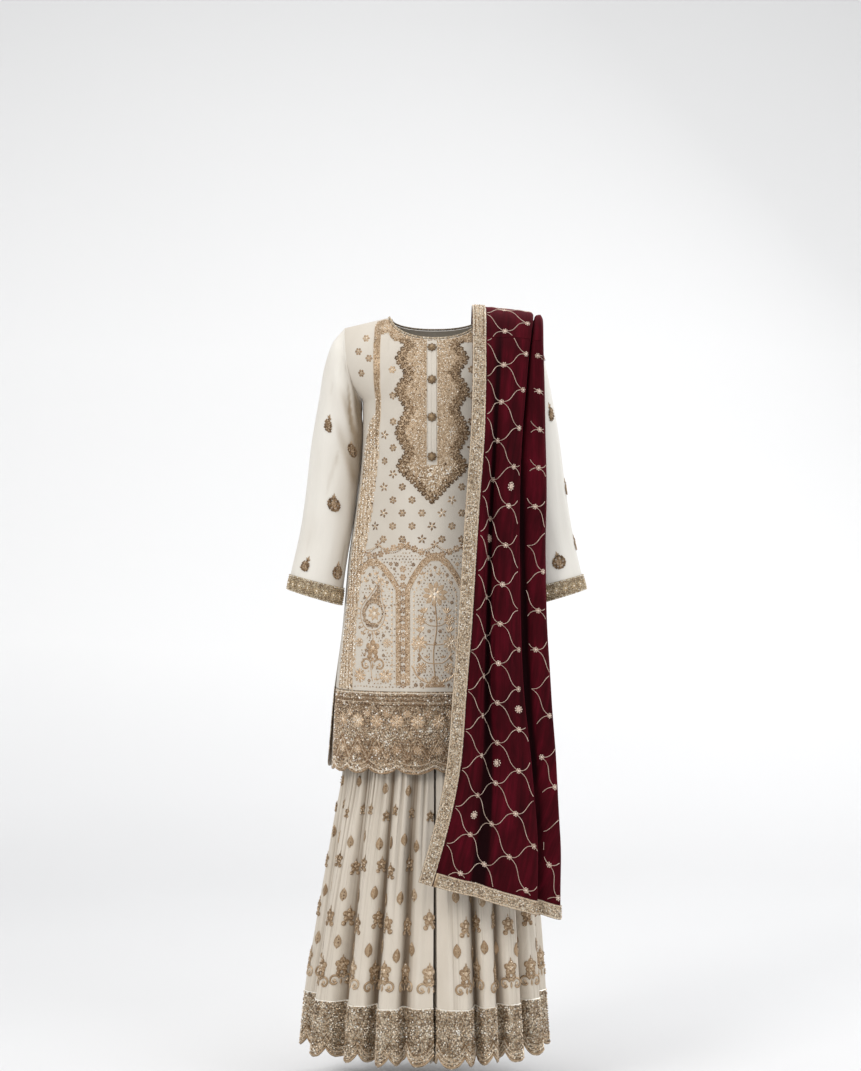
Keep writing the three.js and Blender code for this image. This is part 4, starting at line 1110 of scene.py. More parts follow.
def leg_points(hand, at, z):
    """Points of a leg: at runs over the outer side from centre front (0) to centre back (1), then back along the inner side (to 2)."""
    pleat = PLEATS[hand]
    val = {k: curve(LEG_Z, LEG["right" if k == "wide" and hand < 0 else "left" if k == "wide" else k], z) for k in ("gap", "wide", "front", "back", "fold", "power")}
    u = np.clip(at, 0, 1)
    pu, pf = [p[0] for p in pleat], [p[1] for p in pleat]
    f = curve(pu, pf, u)
    # the pleats are crisper at the top, where they are gathered, and drift a little down the leg
    drift = 0.004 * np.sin(z / 90 + 9 * u)
    f = 0.85 * curve(pu, pf, np.clip(u + drift * np.sin(np.pi * u), 0, 1)) + 0.15 * f
    t = np.pi * u
    deep = np.where(np.cos(t) > 0, val["front"], val["back"])
    x = val["wide"] * np.abs(np.sin(t)) ** val["power"]
    y = -deep * spow(np.cos(t), val["power"])
    wx, wy = np.maximum(0, x - val["wide"] * 0.3), y
    wl = np.maximum(np.hypot(wx, wy), 1e-9)
    wx, wy = wx / wl, wy / wl
    end = (u <= 0.001) | (u >= 0.999)
    wx, wy = np.where(end, 0, wx), np.where(end, np.sign(y), wy)
    rough = smooth01(u, 0.0, 0.03) * (1 - smooth01(u, 0.97, 1.0))
    near = np.clip(1.15 - (-680 - z) / 620, 0.35, 1)
    ph = 300 * u + 2.2 * np.sin(21 * u + z / 160) + 1.2 * np.sin(57 * u)
    ripple = (1.15 * np.sin(ph) + 0.8 * np.sin(ph * 0.63 + 1.7 + z / 260)) * near * rough
    small = 0.45 * np.sin(820 * u + 3 * np.sin(40 * u) + z / 120) * rough
    amount = val["fold"] * f + ripple * (0.55 + 0.75 * smooth01(-z, 700, 900)) + small
    x, y = x + wx * amount, y + wy * amount
    # inner side
    yf = -(curve(LEG_Z, LEG["front"], z) + val["fold"] * curve(pu, pf, 0.0))
    yb = curve(LEG_Z, LEG["back"], z) + val["fold"] * curve(pu, pf, 1.0)
    k = np.clip(at - 1, 0, 1)
    inner_y = yb + (yf - yb) * k
    inner_x = hand * 2.6 * val["gap"] * np.sin(2 * np.pi * k)
    inside = at > 1
    x, y = np.where(inside, inner_x, x), np.where(inside, inner_y, y)
    return np.stack(np.broadcast_arrays(hand * (val["gap"] + x), y, z), -1)


def leg_away(hand, P):
    return np.stack([P[..., 0] - hand * 60, P[..., 1] * 0.8, np.zeros(P.shape[:2])], -1)


def leg_grid(hand, rows, outer, inner):
    at = np.concatenate([np.linspace(0, 1, outer, endpoint=False), 1 + np.linspace(0, 1, inner, endpoint=False)])
    z = np.linspace(CROTCH_Z - 0.3, LEG_BAND, rows)
    A, Z = np.meshgrid(at, z)
    P = leg_points(hand, A, Z)
    g = Grid(P, True, leg_away(hand, P))
    g.at_values, g.z_values = at, z
    return g


def even_at(hand, n, z):
    """Values of at that are evenly spaced by length round the leg."""
    at = np.linspace(0, 2, 1601)
    P = leg_points(hand, at, np.full_like(at, z))
    s = np.concatenate([[0], np.cumsum(np.linalg.norm(np.diff(P, axis=0), axis=1))])
    return np.interp(np.arange(n) / n * s[-1], s, at)


legs, leg_pieces, leg_hems, leg_hem_pieces = {}, {}, {}, {}
for name, hand in (("right", -1), ("left", 1)):
    g = leg_grid(hand, 38, 320, 20)
    legs[name] = g
    # Painted shade for the legs: a little darker everywhere, more towards the hem and in the hollows of the pleats and
    # crinkles.
    leg_painted_shade = 0.10 + 0.12 * smooth01(-g.z_values, 760, 1150)[:, None] + 0.11 * hollow(g.P, g.N, True, 9) + 0.22 * hollow(g.P, g.N, True, 2)
    leg_painted_shade += (0.35 * np.exp(-(((g.z_values + 868) / 55) ** 2)) * (g.z_values < -840))[:, None]  # painted shadow cast by the hem of the kameez
    leg_pieces[name] = wear(g.shell(f"sharara_leg_{name}_cloth", 1.2, IVORY_LEG, fold=leg_painted_shade), f"sharara_leg_{name}")
    n = LEG_SCALLOPS * 15
    at = even_at(hand, n, LEG_HEM)
    f = np.arange(n) / n
    low = hem_z(f, LEG_SCALLOPS, LEG_HEM, LEG_SCALLOP)
    t = np.linspace(0, 1, 10)[:, None]
    Z = (LEG_BAND - 0.3) * (1 - t) + low[None, :] * t
    P = leg_points(hand, np.broadcast_to(at, Z.shape), Z)
    g = Grid(P, True, leg_away(hand, P))
    g.low = low
    leg_hems[name] = g
    leg_hem_pieces[name] = wear(g.shell(f"sharara_border_{name}_lace", 1.7, LACE_LEG), f"sharara_border_{name}")

# ------------------------------------------------------------------ dupatta
# Both edges of the innermost layer, the way it faces, stack thickness, fold depth, shares (edge, turn, crest, groove) and belly.
DUPATTA = np.array([
    [-31, -1051, -199, 229, -1127, -178, 0, 30, 9, 0.84, 0.5, 0.5, 0.3, 0],
    [-9, -976, -192, 232, -1031, -164, 0, 30, 12, 0.82, 0.5, 0.55, 0.3, 0],
    [9, -905, -182, 229, -932, -146, 0, 29, 15, 0.8, 0.5, 0.65, 0.3, 0],
    [22, -833, -168, 225, -842, -128, 0, 28, 17, 0.77, 0.5, 0.75, 0.3, 0],
    [31, -724, -156, 216, -724, -112, 0, 27, 19, 0.73, 0.49, 0.85, 0.28, 4],
    [43, -577, -145, 208, -577, -98, 0, 27, 20, 0.7, 0.48, 0.92, 0.26, 6],
    [50, -465, -138, 206, -465, -90, 0, 26, 19, 0.69, 0.48, 0.95, 0.28, 8],
    [57, -354, -134, 208, -354, -84, 0, 25, 17, 0.67, 0.48, 0.95, 0.34, 8],
    [65, -243, -132, 206, -243, -78, 2, 24, 12, 0.69, 0.46, 0.95, 0.45, 8],
    [69, -130, -118, 205, -130, -72, 10, 21, 6, 0.76, 0.47, 0.95, 0.62, 4],
    [70, -62, -94, 204, -66, -64, 28, 18, 2.5, 0.82, 0.48, 0.95, 0.75, 2],
    [71, -16, -60, 205, -26, -46, 55, 16, 1, 0.86, 0.5, 0.95, 0.8, 2],
    [71, 6, 2, 206, -11, -2, 90, 16, 0.8, 0.87, 0.5, 0.95, 0.8, 3],
    [71, -12, 62, 205, -24, 44, 128, 16, 1, 0.86, 0.5, 0.95, 0.8, 2],
    [70, -60, 92, 204, -66, 66, 154, 18, 2.5, 0.82, 0.48, 0.95, 0.75, 2],
    [68, -130, 112, 205, -130, 78, 171, 20, 6, 0.76, 0.47, 0.95, 0.62, 4],
    [64, -243, 116, 206, -243, 84, 180, 23, 11, 0.69, 0.47, 0.95, 0.45, 8],
    [58, -354, 118, 208, -354, 88, 180, 24, 15, 0.67, 0.48, 0.95, 0.34, 8],
    [52, -465, 122, 208, -465, 92, 180, 25, 17, 0.7, 0.48, 0.95, 0.28, 8],
    [46, -577, 128, 210, -577, 98, 180, 26, 18, 0.72, 0.48, 0.9, 0.26, 6],
    [38, -724, 142, 214, -724, 110, 180, 27, 17, 0.75, 0.49, 0.85, 0.28, 4],
    [30, -850, 156, 219, -856, 126, 180, 28, 15, 0.78, 0.5, 0.75, 0.3, 0],
    [20, -975, 180, 224, -990, 150, 180, 29, 12, 0.81, 0.5, 0.6, 0.3, 0],
    [8, -1086, 198, 226, -1120, 170, 180, 30, 9, 0.83, 0.5, 0.5, 0.3, 0],
], float)
# Stations across the cloth: mm, shares of one width, edge and turn; then shares of stack, fold, crest and groove in its height.
STATIONS = np.array([
    [0, 0, 0, 0, 1, 0, 0, 0], [13, 0, 0, 0, 1, 0.2, 0, 0], [26, 0, 0, 0, 1, 0.35, 0, 0], [0, 0, 0.36, 0, 1, 0.2, 0, 0],
    [0, 0, 0.48, 0, 1, -1, 0, 0], [0, 0, 0.6, 0, 1, 0.2, 0, 0], [0, 0, 0.74, 0, 1, 0.6, 0, 0], [0, 0, 0.87, 0, 1, 0.35, 0, 0],
    [-2, 0, 1, 0, 0.97, 0, 0, 0], [0, 0, 1, 0, 0.8, 0, 0, 0], [-3, 0, 1, 0, 0.63, 0, 0, 0], [2, 0, 0, 1, 0.6, 0, 0, 0],
    [-2, 0, 0, 1, 0.45, 0, 0, 0], [2, 0, 0, 1, 0.3, 0, 0, 0], [3, 0, 1, 0, 0.28, 0, 0, 0], [6, 0, 1, 0, 0, 0, 0, 1],
    [1, 0.45, 0.55, 0, 0, 0, 0.9, 0], [1, 0.75, 0.25, 0, 0, 0, 1, 0], [-2, 1, 0, 0, 0, 0, 0.86, 0], [0, 1, 0, 0, 0.28, 0, 0, 0],
    [-4, 1, 0, 0, 0, 0, 0, 0], [0, 0.72, 0, 0, 0, 0, 0, 0],
], float)
VELVET_WALL, EDGE_BAND = 1.6, 26.0


def dupatta_row(r):
    xl, zl, yl, xr, zr, yr, face, stack, fold, edge, turn, crest, groove, belly = r
    a0 = math.radians(face)
    out = np.array([0, -math.cos(a0), math.sin(a0)])
    left, right = np.array([xl, yl, zl]), np.array([xr, yr, zr])
    width = np.linalg.norm(right - left)
    S = STATIONS
    a = np.clip(S[:, 0] / width + S[:, 1] + S[:, 2] * edge + S[:, 3] * turn, 0, 1)
    b = S[:, 4] * stack + S[:, 5] * fold + S[:, 6] * crest * stack + S[:, 7] * groove * stack
    return left + (right - left) * a[:, None] + out * (b + belly * 4 * a * (1 - a))[:, None]


def chord_curve(points, n):
    """n points on a smooth curve through the given ones, evenly spaced by length."""
    d = np.linalg.norm(np.diff(points, axis=0), axis=1)
    t = np.concatenate([[0], np.cumsum(np.maximum(d, 1e-6))])
    m = np.gradient(points, t, axis=0)
    q = np.linspace(0, t[-1], n * 4)
    i = np.clip(np.searchsorted(t, q, side="right") - 1, 0, len(t) - 2)
    h = (t[i + 1] - t[i])[:, None]
    s = ((q - t[i])[:, None]) / h
    s2, s3 = s * s, s * s * s
    P = (2 * s3 - 3 * s2 + 1) * points[i] + (s3 - 2 * s2 + s) * h * m[i] + (-2 * s3 + 3 * s2) * points[i + 1] + (s3 - s2) * h * m[i + 1]
    w = np.concatenate([[0], np.cumsum(np.linalg.norm(np.diff(P, axis=0), axis=1))])
    u = np.linspace(0, w[-1], n)
    return np.stack([np.interp(u, w, P[:, k]) for k in range(3)], 1)


def dupatta_grid(rows, cols):
    table = np.array([dupatta_row(r) for r in DUPATTA])
    mid = table[:, :8].mean(1)
    t = np.concatenate([[0], np.cumsum(np.linalg.norm(np.diff(mid, axis=0), axis=1))])
    q = np.linspace(0, t[-1], rows)
    m = np.gradient(table, t, axis=0)
    i = np.clip(np.searchsorted(t, q, side="right") - 1, 0, len(t) - 2)
    h = (t[i + 1] - t[i])[:, None, None]
    s = ((q - t[i])[:, None, None]) / h
    s2, s3 = s * s, s * s * s
    fine = (2 * s3 - 3 * s2 + 1) * table[i] + (s3 - 2 * s2 + s) * h * m[i] + (-2 * s3 + 3 * s2) * table[i + 1] + (s3 - s2) * h * m[i + 1]
    return np.array([chord_curve(f, cols) for f in fine]), q, t


DROWS, DCOLS = 190, 116
base, along, knots = dupatta_grid(DROWS, DCOLS)
N = grid_normals(base, False)
if N[20, 20, 1] > 0:
    N = -N
flat_x = np.concatenate([np.zeros((DROWS, 1)), np.cumsum(np.linalg.norm(np.diff(base, axis=1), axis=2), 1)], 1)
y_along = along[:, None]
ripples = 0.9 * wobble(31, flat_x / 21, y_along / 150) + 0.5 * wobble(37, flat_x / 9, y_along / 90)
ripples *= smooth01(flat_x, 4, 45)
dupatta_out = base + N * (ripples + VELVET_WALL / 2)[..., None]
cut_a, cut_b = knots[10], knots[14]
ia, ib = int(np.searchsorted(along, cut_a)), int(np.searchsorted(along, cut_b))
spans = {"front": (0, ia), "shoulder": (ia, ib), "back": (ib, DROWS - 1)}
whole = Grid(dupatta_out, False, N)
dupatta_pieces, dupatta_grids, dupatta_bands = {}, {}, {}
for name, (r0, r1) in spans.items():
    P = dupatta_out[r0 : r1 + 1].copy()
    if r0 > 0:
        P[0] += (P[1] - P[0]) * 0.03
    if r1 < DROWS - 1:
        P[-1] += (P[-2] - P[-1]) * 0.03
    g = Grid(P, False, N[r0 : r1 + 1])
    dupatta_grids[name] = g
    # painted shade for the velvet: dark in the hollows between its folds and darker towards its lower part
    dupatta_pieces[name] = wear(g.shell(f"dupatta_{name}_velvet", VELVET_WALL, VELVET, sharp=70, fold=np.clip(0.34 * hollow(P, g.N, False, 8) + 0.17 * smooth01(-P[..., 2], 350, 950), 0, 0.95)), f"dupatta_{name}")

    # the worked band along the visible long edge
    cols = 12
    r = np.arange(P.shape[0], dtype=float)
    X = np.linspace(0.2, EDGE_BAND, cols)
    R, XX = np.meshgrid(r, X, indexing="ij")
    p, n = g.at(R.ravel(), g.column(R.ravel(), XX.ravel()))
    E = (p + n * 0.35).reshape(len(r), cols, 3)
    nn_ = n.reshape(len(r), cols, 3)
    e = Grid(E, False, nn_)
    dupatta_bands["edge_" + name] = wear(e.shell(f"dupatta_edge_{name}_band", 1.5, BAND_PALE, out=1.5), f"dupatta_edge_{name}")
    dupatta_grids["edge_" + name] = e


def end_band(name):
    g = dupatta_grids[name]
    end = 0 if name == "front" else g.R - 1
    step = np.linalg.norm(g.P[1 if end == 0 else -2] - g.P[end], axis=1)
    rows = 10
    c = np.arange(g.C, dtype=float)
    keep = g.A[end, : g.C] > EDGE_BAND + 0.3
    c = c[keep]
    s = np.linspace(0.2, EDGE_BAND, rows)
    off = s[:, None] / step[None, keep]
    r = off if end == 0 else g.R - 1 - off
    p, n = g.at(r.ravel(), np.broadcast_to(c, r.shape).ravel())
    E = (p + n * 0.35).reshape(rows, len(c), 3)
    e = Grid(E, False, n.reshape(rows, len(c), 3))
    dupatta_bands["hem_" + name] = wear(e.shell(f"dupatta_hem_{name}_band", 1.5, BAND_PALE, out=1.5), f"dupatta_hem_{name}")
    dupatta_grids["hem_" + name] = e


end_band("front")
end_band("back")

# ------------------------------------------------------------------ places for raised work
def scatter(x0, x1, z0, z1, pitch, rng, jitter=0.36):
    """Places on a staggered grid over a rectangle, each moved a little."""
    nx, nz = int((x1 - x0) / pitch) + 1, int((z1 - z0) / (pitch * 0.87)) + 1
    X, Z = np.meshgrid(x0 + np.arange(nx) * pitch, z0 + np.arange(nz) * pitch * 0.87)
    X[1::2] += pitch / 2
    X, Z = X.ravel(), Z.ravel()
    return X + rng.uniform(-jitter, jitter, len(X)) * pitch, Z + rng.uniform(-jitter, jitter, len(X)) * pitch


def inside_polygon(poly, x, y):
    poly = np.asarray(poly, float)
    inside = np.zeros(len(x), bool)
    for (x0, y0), (x1, y1) in zip(poly, np.roll(poly, -1, 0)):
        cross = (y0 > y) != (y1 > y)
        with np.errstate(divide="ignore", invalid="ignore"):
            at = (x1 - x0) * (y - y0) / (y1 - y0) + x0
        inside ^= cross & (x < at)
    return inside


def resample(points, pitch):
    p = np.asarray(points, float)
    d = np.linalg.norm(np.diff(p, axis=0), axis=1)
    t = np.concatenate([[0], np.cumsum(d)])
    n = max(2, int(round(t[-1] / pitch)) + 1)
    q = np.linspace(0, t[-1], n)
    return np.stack([np.interp(q, t, p[:, 0]), np.interp(q, t, p[:, 1])], 1)


def bend(points, pitch=3.0):
    """A smooth line through a few points."""
    p = np.asarray(points, float)
    d = np.concatenate([[0], np.cumsum(np.linalg.norm(np.diff(p, axis=0), axis=1))])
    m = np.gradient(p, d, axis=0) if len(p) > 2 else np.tile((p[-1] - p[0]) / d[-1], (2, 1))
    n = max(4, int(d[-1] / pitch) + 1)
    q = np.linspace(0, d[-1], n)
    i = np.clip(np.searchsorted(d, q, side="right") - 1, 0, len(d) - 2)
    h = (d[i + 1] - d[i])[:, None]
    s = ((q - d[i])[:, None]) / h
    s2, s3 = s * s, s * s * s
    return (2 * s3 - 3 * s2 + 1) * p[i] + (s3 - 2 * s2 + s) * h * m[i] + (-2 * s3 + 3 * s2) * p[i + 1] + (s3 - s2) * h * m[i + 1]


class Ground:
    """A place to sew on: turns (x, z) on the flat cloth into points and normals, right-handed seen from outside."""

    def __init__(self, kind, source, hand=1):
        self.kind, self.g, self.hand = kind, source, 1
        if kind == "panel":
            self.hand = 1 if source.side < 0 else -1
        else:
            down = np.abs(np.gradient(source.L, axis=0)).mean(1)
            self.step = np.maximum(down, 0.2)
            r, c = np.array([source.R * 0.5]), np.array([source.C * 0.3])
            p0 = self.raw(r, c, 0.0, 0.0)
            px = self.raw(r, c, 3.0, 0.0)
            pz = self.raw(r, c, 0.0, 3.0)
            det = np.einsum("ij,ij->i", np.cross(px[0] - p0[0], pz[0] - p0[0]), p0[1])[0]
            self.hand = 1 if det > 0 else -1

    def raw(self, r0, c0, dx, dz):
        g = self.g
        up = -1.0 if g.P[0, :, 2].mean() > g.P[-1, :, 2].mean() else 1.0
        step = np.interp(r0, np.arange(g.R), self.step)
        r = r0 + up * dz / step
        c = g.column(r, g.along(np.clip(r, 0, g.R - 1.001), c0) + dx)
        return g.at(r, c)

    def __call__(self, a, b, dx, dz):
        if self.kind == "panel":
            return self.g.at(a + self.hand * dx, b + dz)
        return self.raw(a, b, self.hand * dx, dz)


def patch(bag, ground, inside, box, cell=2.6, high=0.35, low=-0.35, tint=0.4, rng=None):
    """A thin closed slab of worked ground over the cells of a rectangle that inside() takes."""
    x0, x1, z0, z1 = box
    nx, nz = int(round((x1 - x0) / cell)), int(round((z1 - z0) / cell))
    X, Z = np.meshgrid(np.linspace(x0, x1, nx + 1), np.linspace(z0, z1, nz + 1))
    cx, cz = (X[:-1, :-1] + X[1:, 1:]) / 2, (Z[:-1, :-1] + Z[1:, 1:]) / 2
    M = inside(cx.ravel(), cz.ravel()).reshape(cx.shape)
    if not M.any():
        return
    P, N = ground(X.ravel(), Z.ravel(), np.zeros(X.size), np.zeros(X.size))
    n = X.size
    C = nx + 1
    j, i = np.nonzero(M)
    a, b, c, d = j * C + i, j * C + i + 1, (j + 1) * C + i + 1, (j + 1) * C + i
    top = np.stack([a, b, c, d], 1)
    faces = [top, top[:, ::-1] + n]
    pad = np.pad(M, 1)
    for dj, di, e0, e1 in ((-1, 0, 0, 1), (0, 1, 1, 2), (1, 0, 2, 3), (0, -1, 3, 0)):
        open_ = ~pad[j + 1 + dj, i + 1 + di]
        u, v = top[open_, e0], top[open_, e1]
        faces.append(np.stack([v, u, u + n, v + n], 1))
    F = np.concatenate(faces)
    V = np.concatenate([P + N * high, P + N * low])
    used = np.unique(F)
    remap = np.full(len(V), -1)
    remap[used] = np.arange(len(used))
    F = remap[F]
    t = np.full(len(used), tint, float)
    if rng is not None:
        t = t + rng.normal(0, 0.07, len(used))
    if ground.hand < 0:
        F = F[:, ::-1]
    bag.add(V[used], np.concatenate([F[:, [0, 1, 2]], F[:, [0, 2, 3]]]), t)


def beads_at(bag, ground, X, Z, r, tint, rng, lift=0.35, **k):
    if len(X) == 0:
        return
    P, N = ground(X, Z, np.zeros(len(X)), np.zeros(len(X)))
    beads(bag, P + N * lift, N, r, tint, rng, **k)


def fill(bag, ground, poly, pitch, r, rng, tint=0.6, spread=0.2, ground_tint=0.38, cell=2.6):
    """A shape filled with worked ground and beads; its outline in flat coordinates."""
    poly = np.asarray(poly, float)
    x0, z0 = poly.min(0) - 1
    x1, z1 = poly.max(0) + 1
    take = lambda x, z: inside_polygon(poly, x, z)
    if ground_tint is not None:
        patch(bag, ground, take, (x0, x1, z0, z1), cell, tint=ground_tint, rng=rng)
    X, Z = scatter(x0, x1, z0, z1, pitch, rng)
    m = take(X, Z)
    X, Z = X[m], Z[m]
    beads_at(bag, ground, X, Z, r * rng.uniform(0.8, 1.15, len(X)), tint + rng.normal(0, spread, len(X)), rng, lift=0.5)


def ribbon(points, width):
    """The outline of a band of that width along a line."""
    p = np.asarray(points, float)
    d = np.gradient(p, axis=0)
    d /= np.linalg.norm(d, axis=1, keepdims=True)
    s = np.stack([-d[:, 1], d[:, 0]], 1) * width / 2
    return np.concatenate([p + s, (p - s)[::-1]])


def cord_on(bag, ground, points, width, high, tint, closed=False, lift=0.0):
    """A cord laid along a line given in flat coordinates, over work of that height."""
    V, T, t = cord_line(points, width, high, tint, closed)
    P, N = ground(V[:, 0], V[:, 1], np.zeros(len(V)), np.zeros(len(V)))
    if ground.hand < 0:
        T = T[:, ::-1]
    bag.add(P + N * (V[:, 2:3] + lift * (V[:, 2:3] > 0)), T, t)


def beaded_line(bag, ground, points, pitch, r, tint, rng, spread=0.12):
    p = resample(points, pitch)
    beads_at(bag, ground, p[:, 0], p[:, 1], r, tint + rng.normal(0, spread, len(p)), rng, tilt=0.2)


def raised(ground, lift):
    """The same ground, lifted by so many mm."""
    def mapper(a, b, dx, dz):
        P, N = ground(a, b, dx, dz)
        return P + N * lift, N
    return mapper


def line_on(bag, P_, N_, w_, hh, tint_, rng, spread=0.1):
    """A raised cord along points that lie on a surface."""
    d_ = np.gradient(P_, axis=0)
    s_ = np.cross(d_, N_)
    s_ /= np.maximum(np.linalg.norm(s_, axis=1, keepdims=True), 1e-9)
    n_ = len(P_)
    V = np.concatenate([P_ + s_ * w_ / 2 - N_ * 0.2, P_ + N_ * hh, P_ - s_ * w_ / 2 - N_ * 0.2])
    i_ = np.arange(n_ - 1)
    k_ = i_ + 1
    F = np.concatenate([np.stack([i_, k_, n_ + k_, n_ + i_], 1), np.stack([n_ + i_, n_ + k_, 2 * n_ + k_, 2 * n_ + i_], 1), np.stack([2 * n_ + i_, 2 * n_ + k_, k_, i_], 1)])
    T = np.concatenate([F[:, [0, 1, 2]], F[:, [0, 2, 3]], [[0, n_, 2 * n_], [n_ - 1, 3 * n_ - 1, 2 * n_ - 1]]])
    bag.add(V, T, tint_ + rng.normal(0, spread, len(V)))


# ------------------------------------------------------------------ motifs
def cover(s, inside, reach, pitch=3.0, r=2.05, tint=0.36, edge=-0.14):
    """Fills a shape with close sequins on a staggered grid, darker round its rim."""
    n = int(reach / pitch) + 1
    for j in range(-n, n + 1):
        for i in range(-n, n + 1):
            x, y = (i + 0.5 * (j % 2)) * pitch, j * pitch * 0.87
            if not inside(x, y):
                continue
            rim = not (inside(x * 1.22 + 0.01, y) and inside(x, y + 2.6) and inside(x, y - 2.6) and inside(x + 2.6, y) and inside(x - 2.6, y))
            s.bead(x, y, r, tint + (edge if rim else 0.16 * ((i + j) % 2)))


def discs(places):
    """Whether a point lies in any of the discs (x, y, radius)."""
    return lambda x, y: any((x - a) ** 2 + (y - b) ** 2 < c * c for a, b, c in places)


def pad(s, x, y, r, tint=0.3, studs=6, high=1.1):
    """A round of close sequin work: a low dome with a ring of studs on it."""
    s.dome(x, y, r, sides=8, high=high, tint=tint)
    for k in range(studs):
        a = 2 * math.pi * k / studs + r
        s.bead(x + r * 0.62 * math.cos(a), y + r * 0.62 * math.sin(a), max(0.8, r * 0.24), tint + 0.14 + 0.22 * (k % 2))


def buti_round():
    s = Stencil()
    for k in range(6):
        a = k * math.pi / 3
        s.dome(3.9 * math.cos(a), 3.9 * math.sin(a), 2.5, sides=6, high=1.0, tint=0.12 + 0.08 * (k % 2))
    s.dome(0, 0, 2.6, sides=6, high=1.7, tint=0.36)
    return s


def buti_star():
    s = Stencil()
    for k in range(5):
        a = 0.3 + k * 2 * math.pi / 5
        s.leaf(1.2 * math.cos(a), 1.2 * math.sin(a), 6.2, 4.6, a, n=2, high=1.0, tint=0.14)
    s.dome(0, 0, 2.3, sides=6, high=1.5, tint=0.58)
    return s


def buti_drop(length=33.0, width=19.0):
    """A drop-shaped buti: close sequin work inside a studded rim, small leaves at its tip."""
    s = Stencil()

    def inside(x, y):
        v = (y + length * 0.42) / (length * 0.72)
        return 0 < v < 1 and abs(x) < width * 0.5 * math.sin(math.pi * v**0.72) ** 0.75

    cover(s, inside, length * 0.6, 2.7, 2.0, 0.27, -0.08)
    for side in (-1, 1):
        s.leaf(0, length * 0.26, length * 0.2, width * 0.24, math.pi / 2 + side * 0.9, n=2, high=1.1, tint=0.30)
    s.leaf(0, length * 0.26, length * 0.28, width * 0.24, math.pi / 2, n=2, high=1.1, tint=0.34)
    return s


def buti_ring(r=13.5):
    """A round buti: rings of sequins round a bright heart, with a small tip."""
    s = Stencil()
    cover(s, lambda x, y: x * x + y * y < (r * 0.98) ** 2 and not (r * 0.60) ** 2 < x * x + y * y < (r * 0.68) ** 2, r, 2.7, 2.0, 0.27, -0.08)
    for k in range(6):
        a = 2 * math.pi * k / 6
        s.bead(r * 0.2 * math.cos(a), r * 0.2 * math.sin(a), 2.1, 0.5)
    for side in (-1, 1):
        s.leaf(0, r * 0.95, r * 0.42, r * 0.28, math.pi / 2 + side * 0.85, n=2, high=1.1, tint=0.32)
    s.leaf(0, r * 0.95, r * 0.66, r * 0.28, math.pi / 2, n=2, high=1.1, tint=0.34)
    return s


def studded(s, x, y, r, tint=0.31, grains=5):
    """A rounded, studded lobe of a motif."""
    s.dome(x, y, r, sides=8, high=min(2.0, r * 0.42), tint=tint - 0.06)
    for k in range(grains):
        a = 2 * math.pi * k / grains + x + y
        s.bead(x + r * 0.5 * math.cos(a), y + r * 0.5 * math.sin(a), 1.75, tint + 0.14 * (k % 3) - 0.1)


def buti_oval(length=22.0, width=13.0):
    """The small almond of the trousers."""
    s = Stencil()
    s.leaf(0, -length / 2, length, width, math.pi / 2, n=5, high=1.5, tint=0.27)
    for k in range(6):
        s.bead(1.7 * (-1) ** k, (k - 2.5) * length * 0.12, 1.9, 0.22 + 0.2 * (k % 2))
    return s


def buti_sprig(h=42.0):
    """A sprig: a round five-lobed head, two round feet and a thin tip."""
    s = Stencil()
    for k in range(5):
        a = math.pi / 2 + 1.2566 * k
        studded(s, h * 0.165 * math.cos(a), h * 0.12 + h * 0.165 * math.sin(a), h * 0.118)
    studded(s, 0, h * 0.12, h * 0.085, 0.55, 3)
    for side in (-1, 1):
        studded(s, side * h * 0.17, -h * 0.22, h * 0.11)
        s.leaf(0, -h * 0.06, h * 0.2, h * 0.075, -math.pi / 2 + side * 0.7, n=3, high=1.3, tint=0.3)
    s.leaf(0, h * 0.38, h * 0.15, h * 0.05, math.pi / 2, n=2, high=1.2, tint=0.3)
    return s


def buti_curl(h=62.0):
    """The large motif above the trouser border: a lobed head over two scrolls."""
    s = Stencil()
    for k in range(5):
        a = math.pi / 2 + 1.2566 * k
        studded(s, h * 0.13 * math.cos(a), h * 0.23 + h * 0.13 * math.sin(a), h * 0.094, 0.38, 5)
    studded(s, 0, h * 0.23, h * 0.07, 0.6, 3)
    for side in (-1, 1):
        studded(s, side * h * 0.105, h * 0.0, h * 0.072, 0.32, 4)
        t = np.linspace(0, 1, 20)
        a = 0.4 + 5.4 * t
        rr = h * 0.165 * (1 - 0.5 * t)
        cx, cy = side * h * 0.2, -h * 0.21
        s.cord(np.stack([cx - side * rr * np.cos(a), cy + rr * np.sin(a)], 1), 4.2, high=1.6, tint=0.34)
        studded(s, cx, cy, h * 0.055, 0.5, 3)
    studded(s, 0, -h * 0.07, h * 0.06, 0.42, 3)
    s.leaf(0, -h * 0.34, h * 0.2, h * 0.08, math.pi / 2, n=3, high=1.4, tint=0.34)
    s.leaf(0, h * 0.40, h * 0.13, h * 0.045, math.pi / 2, n=2, high=1.2, tint=0.3)
    return s


def bloom(r, petals=9):
    """A full flower with two rounds of petals."""
    s = Stencil()
    for k in range(petals):
        a = 2 * math.pi * k / petals
        s.leaf(r * 0.36 * math.cos(a), r * 0.36 * math.sin(a), r * 0.66, r * 0.52, a, n=3, high=0.9, tint=0.38)
    for k in range(6):
        a = 0.3 + 2 * math.pi * k / 6
        s.leaf(r * 0.1 * math.cos(a), r * 0.1 * math.sin(a), r * 0.46, r * 0.38, a, n=3, high=1.3, tint=0.55)
    s.dome(0, 0, r * 0.17, sides=7, high=1.8, tint=0.8)
    for k in range(petals):
        a = 2 * math.pi * (k + 0.5) / petals
        s.bead(r * 0.62 * math.cos(a), r * 0.62 * math.sin(a), 1.5, 0.85)
        s.bead(r * 0.9 * math.cos(a), r * 0.9 * math.sin(a), 1.2, 0.6)
    return s


